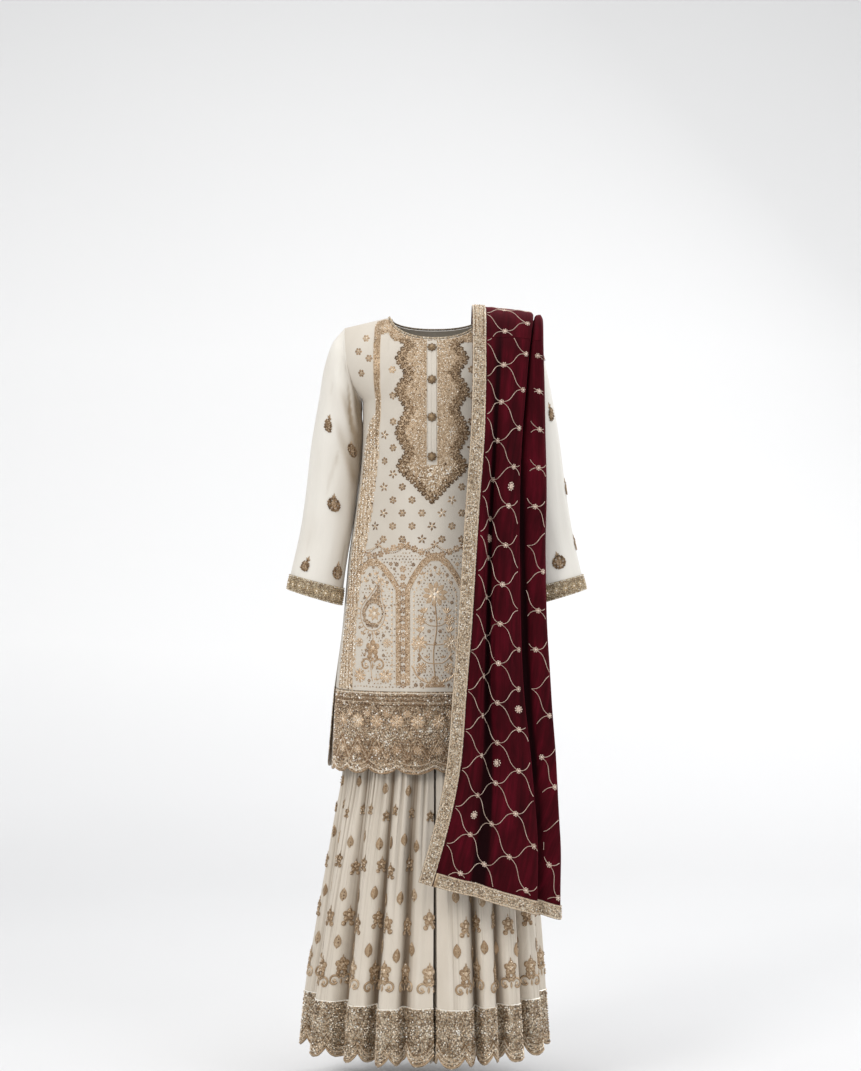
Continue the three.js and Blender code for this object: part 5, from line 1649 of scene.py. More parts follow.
def paisley(h=78.0):
    """An upright paisley: an outline of small leaves, a beaded inner line and a bloom at its heart."""
    t = np.linspace(0, 1, 26)
    a = -math.pi / 2 + 2 * math.pi * t
    x = h * 0.30 * np.cos(a)
    y = h * 0.36 * np.sin(a) - h * 0.12
    tip = np.clip((y + h * 0.0) / (h * 0.24), 0, 1)
    y2 = y + tip**2 * h * 0.34
    x2 = x * (1 - 0.72 * tip**1.5) + tip**2 * h * 0.16
    path = np.stack([x2, y2], 1)
    s = Stencil()
    s.cord(path[:-1], 2.4, 1.0, 0.42, closed=True)
    d = np.gradient(path, axis=0)
    for k in range(0, 25, 1):
        ang = math.atan2(-d[k, 0], d[k, 1])
        s.leaf(path[k, 0], path[k, 1], h * 0.085, h * 0.055, ang, n=2, high=0.8, tint=0.40 + 0.1 * (k % 2))
    c = path.mean(0)
    poly_ = c + (path - c) * 0.86
    xs_, ys_ = np.meshgrid(np.arange(-h * 0.4, h * 0.4, 3.1), np.arange(-h * 0.6, h * 0.6, 2.8))
    xs_[1::2] += 1.55
    xs_, ys_ = xs_.ravel(), ys_.ravel()
    for x_, y_ in zip(*(q[inside_polygon(poly_, xs_, ys_)] for q in (xs_, ys_))):
        d_ = math.hypot(x_ - c[0], y_ - c[1] + h * 0.05)
        if d_ > h * 0.2:
            s.bead(x_, y_, 1.8, 0.34 + 0.2 * ((int(d_ / 4)) % 2))
    inner = c + (path - c) * 0.70
    for p in resample(inner, 3.4):
        s.bead(p[0], p[1], 1.25, 0.8)
    for k in range(7):
        aa = 2 * math.pi * k / 7
        s.leaf(c[0] + h * 0.03 * math.cos(aa), c[1] - h * 0.05 + h * 0.03 * math.sin(aa), h * 0.13, h * 0.10, aa, n=3, high=0.9, tint=0.46)
    s.dome(c[0], c[1] - h * 0.05, h * 0.035, sides=6, high=1.4, tint=0.8)
    s.leaf(c[0] + h * 0.01, c[1] + h * 0.13, h * 0.2, h * 0.08, math.pi / 2 - 0.2, n=3, high=0.9, tint=0.5)
    return s


# ------------------------------------------------------------------ kameez embroidery
GF, GB = Ground("panel", PANELS[-1]), Ground("panel", PANELS[1])
XC = PLACKET_X
rng = np.random.default_rng(7)
work = Bag()

# outline of the worked yoke: half widths down its right half, then the point at its foot
LOBES = [(-52, 56), (-60, 48), (-70, 58), (-78, 62), (-86, 66), (-94, 62), (-102, 56), (-116, 47), (-130, 58), (-138, 63), (-148, 68), (-158, 63), (-166, 57),
         (-184, 47), (-202, 58), (-214, 64), (-226, 68), (-238, 63), (-248, 56), (-266, 47), (-280, 60), (-290, 64), (-300, 58), (-312, 44), (-324, 31), (-336, 20), (-346, 11), (-356, 0)]


def yoke_outline(side):
    return [(XC + side * w, z) for z, w in LOBES]


closed_outline = [(XC - 56, -40), (XC + 56, -40)] + yoke_outline(1) + yoke_outline(-1)[::-1][1:]


def yoke_take(x, z):
    top = neck_z(-1, np.clip(x, -88, 88)) - 2.0
    strip = (np.abs(x - XC) < 10.2) & (z > -288)
    return inside_polygon(closed_outline, x, z) & (z < top) & ~strip


patch(work, GF, yoke_take, (XC - 70, XC + 70, -358, -46), 2.2, tint=0.42, rng=rng)
X, Z = scatter(XC - 70, XC + 70, -358, -44, 2.95, rng)
m = yoke_take(X, Z)
X, Z = X[m], Z[m]
edge_in = np.interp(Z, [z for z, w in LOBES][::-1], [w for z, w in LOBES][::-1]) - np.abs(X - XC)
tone = 0.64 + 0.09 * np.sin(X * 0.9) * np.sin(Z * 0.5) + rng.normal(0, 0.2, len(X))
tone = np.where(edge_in < 18, tone - 0.30, tone)
tone = np.where(Z < -286, tone - 0.05 + 0.35 * (rng.random(len(X)) < 0.3), tone)
r = np.where(Z < -286, 1.9, 1.45) * rng.uniform(0.8, 1.2, len(X))
beads_at(work, GF, X, Z, r, tone, rng, lift=0.5)
# round sequin flowers stepped along the edges
for side in (-1, 1):
    e = resample([(XC + side * (w + 1), z) for z, w in LOBES], 10.4)
    s = Stencil()
    for k in range(6):
        a = k * math.pi / 3
        s.dome(3.4 * math.cos(a), 3.4 * math.sin(a), 2.1, sides=6, high=2.4, tint=0.03 + 0.08 * (k % 2))
    s.dome(0, 0, 2.2, sides=6, high=3.2, tint=0.42)
    stamp(work, s, [(x, z, 0.3 * k, 1.0, 1) for k, (x, z) in enumerate(e)], GF, rng, 0.06)
    e = resample([(XC + side * (w - 10.5), z) for z, w in LOBES[:-3]], 11.0)
    stamp(work, s, [(x, z, 0.5 * k, 0.9, 1) for k, (x, z) in enumerate(e)], GF, rng, 0.1)
# piping beside the placket strip
for side in (-1, 1):
    for off, w, tint in ((10.6, 1.5, 0.62), (13.2, 1.2, 0.3), (36, 1.3, 0.3), (39, 1.3, 0.66)):
        line = [(XC + side * off, -58 if off < 20 else -66), (XC + side * off, -288)]
        cord_on(work, GF, resample(line, 5), w, 1.2, tint)

# band under the neckline, deepest near the shoulders, with a stepped lower edge
BANDS = {-1: GF, 1: GB}
for side, G in BANDS.items():
    P = PANELS[side]
    n = 60
    s = np.linspace(-88.5, 88.5, 400)
    zt = neck_z(side, s)

    def band_take(x, z, side=side):
        xx = np.abs(x)
        top = neck_z(side, np.clip(x, -88.9, 88.9))
        deep = 13 + 12 * np.clip((xx - 52) / 30, 0, 1) + 3.5 * np.abs(((x + 200) / 15) % 2 - 1)
        edge = (xx < 88.5) & (z < top - 1.0) & (z > top - deep)
        rim = np.where(xx < 89, top - 1.5, NECK_Z - (NECK_Z - TIP_Z) * np.clip((xx - 89) / 85, 0, 1) - 4)
        gore = (xx >= 60) & (xx < 113) & (z > -34 - (xx - 60) * 0.05) & (z < rim)
        return (edge | (gore & (side < 0)) | (gore & (side > 0) & (z > -26))) & ~((np.abs(x - XC) < 10) & (side < 0) & (z < -50))

    patch(work, G, lambda x, z: band_take(x if side < 0 else x, z), (-116, 116, -80, -6), 2.4, tint=0.36, rng=rng)
    X, Z = scatter(-116, 116, -82, -6, 2.9 if side < 0 else 3.6, rng)
    m = band_take(X, Z)
    beads_at(work, G, X[m], Z[m], 1.5 * rng.uniform(0.8, 1.2, m.sum()), 0.55 + rng.normal(0, 0.2, m.sum()), rng, lift=0.5)
    if side > 0:
        break

# narrow trims from the shoulders down to the side panels
for side in (-1, 1):
    path = bend([(side * 110, -16), (side * 112, -70), (side * 113, -130), (side * 116, -190), (side * 122, -250)], 4)
    fill(work, GF, ribbon(path, 11.5), 3.0, 1.45, rng, 0.48, 0.2, 0.34)
    for off in (-6.2, 6.2):
        cord_on(work, GF, path + [off, 0], 1.3, 1.0, 0.5)

# side panels: close vertical rows of pale and gold sequins, narrower towards the hem
def side_edges(z):
    inner = np.interp(z, [-712, -600, -500, -420, -330, -250, -205, -190], [168, 162, 150, 136, 120, 112, 113, 116])
    outer = np.interp(z, [-712, -600, -500, -420, -330, -250, -205, -190], [214, 205, 190, 178, 166, 158, 140, 126])
    return inner, outer


for side in (-1, 1):
    def take(x, z, side=side):
        inner, outer = side_edges(z)
        return (side * x > inner) & (side * x < np.minimum(outer, front_panel.width(z) * 0.985)) & (z < -190) & (z > -711)

    box = (-222, -106, -711, -190) if side < 0 else (106, 222, -711, -190)
    patch(work, GF, take, box, 3.4, tint=0.62, rng=rng)
    X, Z = scatter(*box, 4.6, rng, 0.25)
    m = take(X, Z)
    X, Z = X[m], Z[m]
    stripe = np.sin(np.abs(X) * 0.62)
    beads_at(work, GF, X, Z, 1.9 * rng.uniform(0.75, 1.2, len(X)), 0.70 + 0.34 * stripe + rng.normal(0, 0.2, len(X)), rng, lift=0.5)
    for w in np.arange(0.12, 1.0, 0.2):
        zz = np.linspace(-708, -212, 60)
        i_, o_ = side_edges(zz)
        o_ = np.minimum(o_, front_panel.width(zz) * 0.98)
        cord_on(work, GF, np.stack([side * (i_ + (o_ - i_) * w), zz], 1), 1.4, 1.1, 0.34)

# small flowers on a staggered grid over the breast
rows = []
for j in range(18):
    z = -58 - j * 24.6
    for i in range(-4, 5):
        x = XC + (i + 0.5 * (j % 2)) * 37.6
        inner, _ = side_edges(np.array(z)) if z < -190 else (106, 0)
        if abs(x) > float(inner) - 8:
            continue
        lobe = float(np.interp(z, [q for q, w in LOBES][::-1], [w for q, w in LOBES][::-1])) if z > -356 else 0
        if z > -366 and abs(x - XC) < lobe + 9:
            continue
        if z > -90 and abs(x) < 88:
            continue
        if z < -436:
            continue
        rows.append((x, z, 0.4 * j + i, 1.0, 1))
even = [p for k, p in enumerate(rows) if k % 3]
odd = [p for k, p in enumerate(rows) if k % 3 == 0]
even, odd = ([(x, z, t, 1.3, 1) for x, z, t, a, b in q] for q in (even, odd))
stamp(work, buti_round(), even, GF, rng, 0.07)
stamp(work, buti_star(), odd, GF, rng, 0.07)
stamp(work, buti_round(), [(x, z, k, 1.3, 1) for k, (x, z) in enumerate([(-134, -44), (-150, -70), (-128, -84), (-146, -112), (134, -44), (148, -74), (130, -98)])], GF, rng)
kf_upper = wear(work.build("kameez_front_work_upper", WORK_PALE), "kameez_front")
UPPER_WORK = kf_upper

# skirt of the front: three pointed niches with a flowering tree and paisleys in them
work = Bag()


def niche(cx, half, foot, spring, crown, n=40):
    """A cusped arch outline from its left foot over the crown to its right foot."""
    t = np.linspace(-1, 1, n)
    shape = (1 - np.abs(t) ** 1.7)
    cusp = 0.05 * np.abs(np.sin(t * math.pi * 3.5))
    x = cx + half * np.sign(t) * np.abs(t) ** 0.9
    z = spring + (crown - spring) * (shape + cusp * (1 - np.abs(t)))
    return np.concatenate([[(cx - half, foot)], np.stack([x, z], 1), [(cx + half, foot)]])


for cx in (-122, 0, 122):
    half = 52
    out_ = niche(cx, half + 4, -700, -520, -455 if cx == 0 else -465)
    in_ = niche(cx, half - 4, -700, -524, -468 if cx == 0 else -478)
    band = np.concatenate([out_, in_[::-1]])
    fill(work, GF, band, 2.8, 1.4, rng, 0.62, 0.2, 0.5, cell=2.0)
    cord_on(work, GF, resample(out_, 4), 1.8, 1.3, 0.42)
    cord_on(work, GF, resample(in_, 4), 1.6, 1.3, 0.62)
    # scalloped fringe of drops along the inside
    q = resample(niche(cx, half - 12, -696, -528, -486 if cx == 0 else -494), 8.5)
    s = Stencil()
    s.dome(0, 0, 2.6, sides=6, high=1.2, tint=0.5)
    s.bead(0, -4.2, 1.3, 0.8)
    stamp(work, s, [(x, z, 0, 1, 1) for x, z in q[3:-3]], GF, rng)
# bands of small flowers between the crowns
q = [(x, -449 - 9 * math.cos(x / 61 * math.pi), 0.2, 1.2, 1) for x in np.arange(-158, 160, 13.2)]
stamp(work, buti_round(), q, GF, rng)

# the tree
stem = bend([(0, -690), (-3, -640), (3, -590), (0, -548)], 4)
cord_on(work, GF, stem, 3.0, 1.4, 0.36)
for sx in (-1, 1):
    for z0, dx, dz, w in ((-660, 30, 34, 2.4), (-625, 31, 26, 2.2), (-590, 24, 26, 2.0)):
        b = bend([(0, z0), (sx * dx * 0.5, z0 + 2), (sx * dx, z0 + dz * 0.6), (sx * dx * 0.86, z0 + dz)], 3)
        cord_on(work, GF, b, w, 1.1, 0.4)
        s = Stencil()
        for k in range(4):
            s.leaf(0, 0, 13, 6.2, math.pi / 2 + (k - 1.5) * 0.5, n=3, high=1.0, tint=0.38 + 0.06 * k)
        s.dome(0, 3, 2.2, sides=6, high=1.5, tint=0.8)
        stamp(work, s, [(b[-1, 0], b[-1, 1] - 2, -sx * 0.2, 1.0, sx)], GF, rng)
        s = Stencil()
        s.leaf(0, 0, 12, 5.4, 0.9, n=3, high=0.9, tint=0.42)
        s.leaf(0, 0, 12, 5.4, -0.7, n=3, high=0.9, tint=0.36)
        stamp(work, s, [(b[len(b) // 2, 0], b[len(b) // 2, 1], 0, 1, sx)], GF, rng)
stamp(work, bloom(24, 10), [(0, -530, 0.2, 1, 1)], GF, rng)
stamp(work, bloom(16, 8), [(-30, -622, 0.2, 1, 1), (30, -622, 0.5, 1, 1)], GF, rng)
stamp(work, bloom(11, 7), [(-27, -578, 0.2, 1, 1), (27, -578, 0.5, 1, 1), (-26, -668, 0.3, 1, 1), (26, -668, 0.1, 1, 1)], GF, rng)
base_poly = [(-20, -703), (20, -703), (14, -694), (8, -690), (5, -684), (-5, -684), (-8, -690), (-14, -694)]
fill(work, GF, base_poly, 2.6, 1.5, rng, 0.6, 0.2, 0.34, cell=2.0)
for sx in (-1, 1):
    fern = bend([(sx * 8, -698), (sx * 30, -688), (sx * 41, -668)], 3)
    cord_on(work, GF, fern, 1.8, 1.0, 0.4)
    s = Stencil()
    s.leaf(0, 0, 10, 5, 1.0, n=3, high=0.8, tint=0.44)
    stamp(work, s, [(x, z, 0, 1, sx) for x, z in fern[2::2]], GF, rng)
# paisleys in the side niches, a sprig under each
stamp(work, paisley(92), [(-122, -556, -0.05, 1, 1), (122, -556, 0.05, 1, -1)], GF, rng)
for cx in (-122, 122):
    cord_on(work, GF, bend([(cx, -694), (cx - 4, -660), (cx, -632), (cx, -604)], 4), 2.2, 1.1, 0.38)
    stamp(work, buti_curl(72), [(cx, -648, 0, 1, 1)], GF, rng)
    stamp(work, bloom(14, 8), [(cx - 28, -684, 0.1, 1, 1), (cx + 28, -684, 0.4, 1, 1)], GF, rng)
    stamp(work, bloom(9, 7), [(cx - 30, -622, 0.1, 1, 1), (cx + 30, -622, 0.4, 1, 1)], GF, rng)
# pillars between the niches
for cx in (-61, 61):
    for z in np.arange(-700, -470, 15.5):
        stamp(work, buti_round(), [(cx, z, z, 1.15, 1)], GF, rng)
# leaves and small rounds fill the ground inside and above the niches
s = Stencil()
for k in range(3):
    s.leaf(0, 0, 8.5, 4.4, math.pi / 2 + (k - 1) * 0.85, n=2, high=0.9, tint=0.3 + 0.06 * k)
s.bead(0, 0, 1.6, 0.85)
taken = [(0, -532, 27), (-31, -616, 17), (31, -616, 17), (0, -690, 26), (-122, -556, 40), (122, -556, 40), (-122, -650, 32), (122, -650, 32),
         (-30, -626, 13), (30, -626, 13), (-31, -590, 13), (31, -590, 13), (-24, -560, 12), (24, -560, 12), (0, -640, 9), (0, -600, 9), (0, -665, 9)]
spots, small = [], []
for jz in range(16):
    z = -480 - jz * 14.2
    for ix in range(-11, 12):
        x = (ix + 0.5 * (jz % 2)) * 15.2
        near = min((math.hypot(x - cx, z - cz) - r_ for cx, cz, r_ in taken))
        wall = min(abs(abs(x - cx) - 52) for cx in (-122, 0, 122))
        crown = min(math.hypot(x - cx, (z + 512) * 1.1) for cx in (-122, 0, 122))
        if near < 5 or wall < 15 or z < -694 or (z > -520 and crown > 38) or abs(x) > 165:
            continue
        (spots if (ix + jz) % 2 else small).append((x, z, 0.2 * math.sin(ix * 3 + jz), 1.0, 1))
stamp(work, s, spots, GF, rng)
stamp(work, buti_round(), [(x, z, t, 0.62, 1) for x, z, t, a, b in small], GF, rng)
# swags of beads hang from trim to trim above the crowns
for k in range(6):
    x0 = -165 + 55 * k
    t = np.linspace(0, 1, 18)
    for drop_, r_, t_ in ((11, 1.7, 0.7), (16, 1.3, 0.3)):
        beaded_line(work, GF, np.stack([x0 + 55 * t, -437 - drop_ * 4 * t * (1 - t)], 1), 3.6, r_, t_, rng)
    stamp(work, buti_star(), [(x0 + 55, -437, 0.3, 1.2, 1)], GF, rng)
busy = np.zeros((90, 70), bool)
made = np.concatenate(work.v)
ix_, iz_ = ((made[:, 0] + 175) / 4).astype(int), ((made[:, 2] + 715) / 4).astype(int)
ok_ = (ix_ >= 0) & (ix_ < 90) & (iz_ >= 0) & (iz_ < 70)
busy[ix_[ok_], iz_[ok_]] = True
free = []
for jz in range(26):
    for jx in range(-16, 17):
        x, z = (jx + 0.5 * (jz % 2)) * 10.4 + rng.uniform(-1.2, 1.2), -474 - jz * 9.0 + rng.uniform(-1.2, 1.2)
        a_, b_ = int((x + 175) / 4), int((z + 715) / 4)
        if abs(x) > 160 or not (1 <= a_ < 89 and 1 <= b_ < 69) or busy[a_ - 1 : a_ + 2, b_ - 1 : b_ + 2].any():
            continue
        free.append((x, z, rng.uniform(0, 3), rng.uniform(0.55, 0.8), 1))
stamp(work, buti_round(), free, GF, rng, 0.12)
made = np.concatenate(work.v)
ix_, iz_ = ((made[:, 0] + 175) / 4).astype(int), ((made[:, 2] + 715) / 4).astype(int)
ok_ = (ix_ >= 0) & (ix_ < 90) & (iz_ >= 0) & (iz_ < 70)
busy[ix_[ok_], iz_[ok_]] = True
X_, Z_ = np.meshgrid(np.arange(-160, 161, 6.6), np.arange(-704, -446, 5.7))
X_[1::2] += 3.3
X_, Z_ = (q.ravel() + rng.uniform(-0.9, 0.9, q.size) for q in (X_, Z_))
bare = ~busy[((X_ + 175) / 4).astype(int).clip(0, 89), ((Z_ + 715) / 4).astype(int).clip(0, 69)]
beads_at(work, GF, X_[bare], Z_[bare], 1.6, 0.34 + rng.normal(0, 0.16, bare.sum()), rng)
kf_lower = wear(work.build("kameez_front_work_lower", WORK_WARM), "kameez_front")

# the back: the same flowers all over, an edge trim at each side
work = Bag()
rows = []
for j in range(26):
    z = -52 - j * 26.0
    for i in range(-5, 6):
        x = (i + 0.5 * (j % 2)) * 42
        if abs(x) > float(PANELS[1].width(z)) * 0.86 or (z > -70 and abs(x) < 95):
            continue
        rows.append((x, z, 0.4 * j + i, 1.0, 1))
s_ = Stencil()
s_.flower(0, 0, 5.6, 5, tint=0.36, core=0.4, n=2, fat=1.1)
stamp(work, s_, rows, GB, rng, 0.07)
for side in (-1, 1):
    zz = np.linspace(-708, -190, 70)
    for w_, t_ in ((0.93, 0.5), (0.89, 0.35), (0.85, 0.6)):
        beaded_line(work, GB, np.stack([side * PANELS[1].width(zz) * w_, zz], 1), 4.2, 1.6, t_, rng)
P = PANELS[1]
X, Z = scatter(-92, 92, -44, -8, 3.4, rng)
top = neck_z(1, np.clip(X, -88.9, 88.9))
m = (np.abs(X) < 88) & (Z < top - 1.5) & (Z > top - 13)
beads_at(work, GB, X[m], Z[m], 1.6, 0.55 + rng.normal(0, 0.2, m.sum()), rng)
kb_work = wear(work.build("kameez_back_work", WORK), "kameez_back")

# hem borders of the kameez
for name, side in SIDES.items():
    G = BANDS.get(side, GB) if side < 0 else GB
    work = Bag()
    W = float(PANELS[side].width(-790))
    X, Z = scatter(-W * 0.985, W * 0.985, -878, -713, 3.3 if side < 0 else 5.0, rng)
    q = np.clip(X / np.maximum(PANELS[side].width(np.clip(Z, -879, -10)), 1), -1, 1)
    f = np.arccos(np.clip(PANELS[side].x_of(X, Z) / half_at(Z), -1, 1) ** 1) / np.pi
    s_sign = PANELS[side].x_of(X, Z) / (half_at(Z) + flare(side, Z))
    turn = np.arccos(np.clip(spow(np.clip(s_sign, -1, 1), POWER / 2), -1, 1))
    low = hem_z(turn / np.pi, SCALLOPS, HEM_Z, SCALLOP)
    m = (Z > low + 2.4) & (Z < -714)
    X, Z, low = X[m], Z[m], low[m]
    lattice = np.cos(X / 13.5) + np.cos((Z + 790) / 12.0)
    tone = 0.52 + 0.12 * np.sign(lattice) * (np.abs(lattice) > 0.35) + rng.normal(0, 0.22, len(X))
    tone = np.where(np.abs(Z + 730) < 3, 0.25, tone)
    tone = np.where(Z < low + 10, tone + 0.1, tone)
    sparkle = rng.random(len(X)) < 0.03
    tone = np.where(sparkle, 1.1, tone)
    beads_at(work, G, X, Z, np.where(sparkle, 2.3, 1.65) * rng.uniform(0.75, 1.15, len(X)), tone, rng, lift=0.7)
    for z, w, t_ in ((-716, 3.0, 0.86), (-721, 2.2, 0.1), (-733, 2.4, 0.8), (-738, 2.0, 0.1)):
        cord_on(work, G, resample([(-W * 0.97, z), (W * 0.97, z)], 6), w, 1.4, t_, lift=1.3)
    for x in np.arange(-W * 0.9, W * 0.9, 40.0):
        chev = [(x, -838), (x + 20, -802), (x + 40, -838)]
        if x + 40 < W * 0.95:
            cord_on(work, G, resample(chev, 5), 2.4, 1.5, 0.66, lift=1.2)
            cord_on(work, G, resample([(a, b - 8) for a, b in chev], 5), 1.7, 1.4, 0.24, lift=1.1)
            cord_on(work, G, resample([(a, b + 8) for a, b in chev], 5), 1.7, 1.4, 0.24, lift=1.1)
    stamp(work, bloom(13.5, 8), [(x, -768, x, 1, 1) for x in np.arange(-W * 0.9 + 20, W * 0.9, 40.0)], raised(G, 1.5), rng)
    stamp(work, bloom(8, 6), [(x, -754, x, 1, 1) for x in np.arange(-W * 0.9 + 40, W * 0.9 - 20, 40.0)], raised(G, 1.4), rng)
    stamp(work, bloom(9, 7), [(x, -822, x, 1, 1) for x in np.arange(-W * 0.9 + 20, W * 0.9, 40.0)], raised(G, 1.4), rng)
    s = np.linspace(0.004, 0.996, 360 if side < 0 else 240)
    for up, w_, t_ in ((2.0, 3.0, 0.34), (7.0, 2.4, 0.86), (17.0, 2.4, 0.8)):
        z = hem_z(s, SCALLOPS, HEM_Z, SCALLOP) + up
        xx = (half_at(z) + flare(side, z)) * spow(np.cos(np.pi * s), 2 / POWER)
        A = xx.copy()
        for _ in range(25):
            A += xx - PANELS[side].x_of(A, z)
        k = np.abs(A) < PANELS[side].width(z) * 0.99
        cord_on(work, G, np.stack([A[k], z[k]], 1)[::-1], w_, 1.4, t_, lift=1.2)
    wear(work.build(f"kameez_border_{name}_work", WORK_WARM), f"kameez_border_{name}")

# neck binding beads
work = Bag()
pts = NECK[0] + NECK[1] * 3.6
pts[:, 2] = np.minimum(pts[:, 2], NECK_Z - 1.2)
d = np.concatenate([[0], np.cumsum(np.linalg.norm(np.diff(pts, axis=0), axis=1))])
q = np.arange(0, d[-1], 3.1)
P3 = np.stack([np.interp(q, d, pts[:, k]) for k in range(3)], 1)
N3 = np.stack([np.interp(q, d, NECK[2][:, k]) for k in range(3)], 1)
N3 /= np.linalg.norm(N3, axis=1, keepdims=True)
beads(work, P3 + N3 * 0.7, N3, 1.3, 0.6 + rng.normal(0, 0.15, len(q)), rng)
neck_work = wear(work.build("neck_binding_beads", WORK), "neck_binding")

# ------------------------------------------------------------------ sleeve embroidery
def find(g, x, z, front=-1):
    """The row and column of a grid point nearest to a front-view place."""
    d = (g.P[..., 0] - x) ** 2 + (g.P[..., 2] - z) ** 2 + np.where(g.N[..., 1] * front > 0.05, 0, 1e6)
    return np.unravel_index(np.argmin(d), d.shape)


def front_place(px, py, depth=-45.0):
    s = 1.93 * (4000 + depth) / 4000
    return (px - 430.5) * s - 8.7, -420 - (py - 535.5) * s


SLEEVE_FRONT = {
    "right": [(330, 424, "drop", 0.0), (334, 503, "ring", 0.1), (305, 565, "drop", -0.25), (338, 573, "ring", 0.1), (352, 452, "ring", 0.2), (318, 470, "none", 0)],
    "left": [(550, 412, "drop", 0.1), (559, 562, "ring", 0.1), (577, 545, "drop", 0.2), (566, 486, "drop", 0.1), (548, 350, "ring", 0.0)],
}
sleeve_work, cuff_work = {}, {}
for name, hand in (("right", -1), ("left", 1)):
    g = sleeve_grids[name]
    G = Ground("grid", g)
    work = Bag()
    drops, rings = [], []
    for px, py, kind, turn in SLEEVE_FRONT[name]:
        x, z = front_place(px, py)
        r0, c0 = find(g, x, z)
        if kind != "none":
            (drops if kind == "drop" else rings).append((r0, c0, turn, 1.0, 1))
    for k, (x, z) in enumerate([(196, -150), (212, -235), (196, -320), (232, -400), (206, -440), (250, -480)]):
        r0, c0 = find(g, hand * x, z, front=1)
        (drops if k % 2 else rings).append((r0, c0, 0.2 * hand, 1.0, 1))
    stamp(work, buti_drop(), drops, raised(G, 0.4), rng)
    stamp(work, buti_ring(), rings, raised(G, 0.4), rng)
    sleeve_work[name] = wear(work.build(f"sleeve_{name}_work", WORK_PALE), f"sleeve_{name}")
    # cuff: two fine edge lines, a row of rings, a bead ground
    c = sleeve_grids["cuff_" + name]
    G = Ground("grid", c)
    work = Bag()
    rr = np.linspace(0.3, c.R - 1.3, 9)
    mid = (c.R - 1) / 2
    Wc = float(c.W.mean())
    nb = int(Wc / 3.2)
    for k, r0 in enumerate(rr):
        cc = (np.arange(nb) + 0.5 * (k % 2)) / nb * c.C
        P_, N_ = c.at(np.full(nb, r0), cc)
        beads(work, P_ + N_ * 2.3, N_, 1.45, (0.75 if k in (0, 8) else 0.5) + rng.normal(0, 0.17, nb), rng)
    nr = int(Wc / 16)
    s = Stencil()
    s.flower(0, 0, 7.0, 7, tint=0.5, core=0.36, n=2, fat=1.1)
    s.bead(0, 0, 1.8, 1.0)
    V_ = [(mid, k / nr * c.C, 0, 1, 1) for k in range(nr)]
    stamp(work, s, V_, lambda a, b, dx, dz, G=G: (lambda pn: (pn[0] + pn[1] * 2.6, pn[1]))(G(a, b, dx, dz)), rng)
    cuff_work[name] = wear(work.build(f"cuff_{name}_work", WORK), f"cuff_{name}")

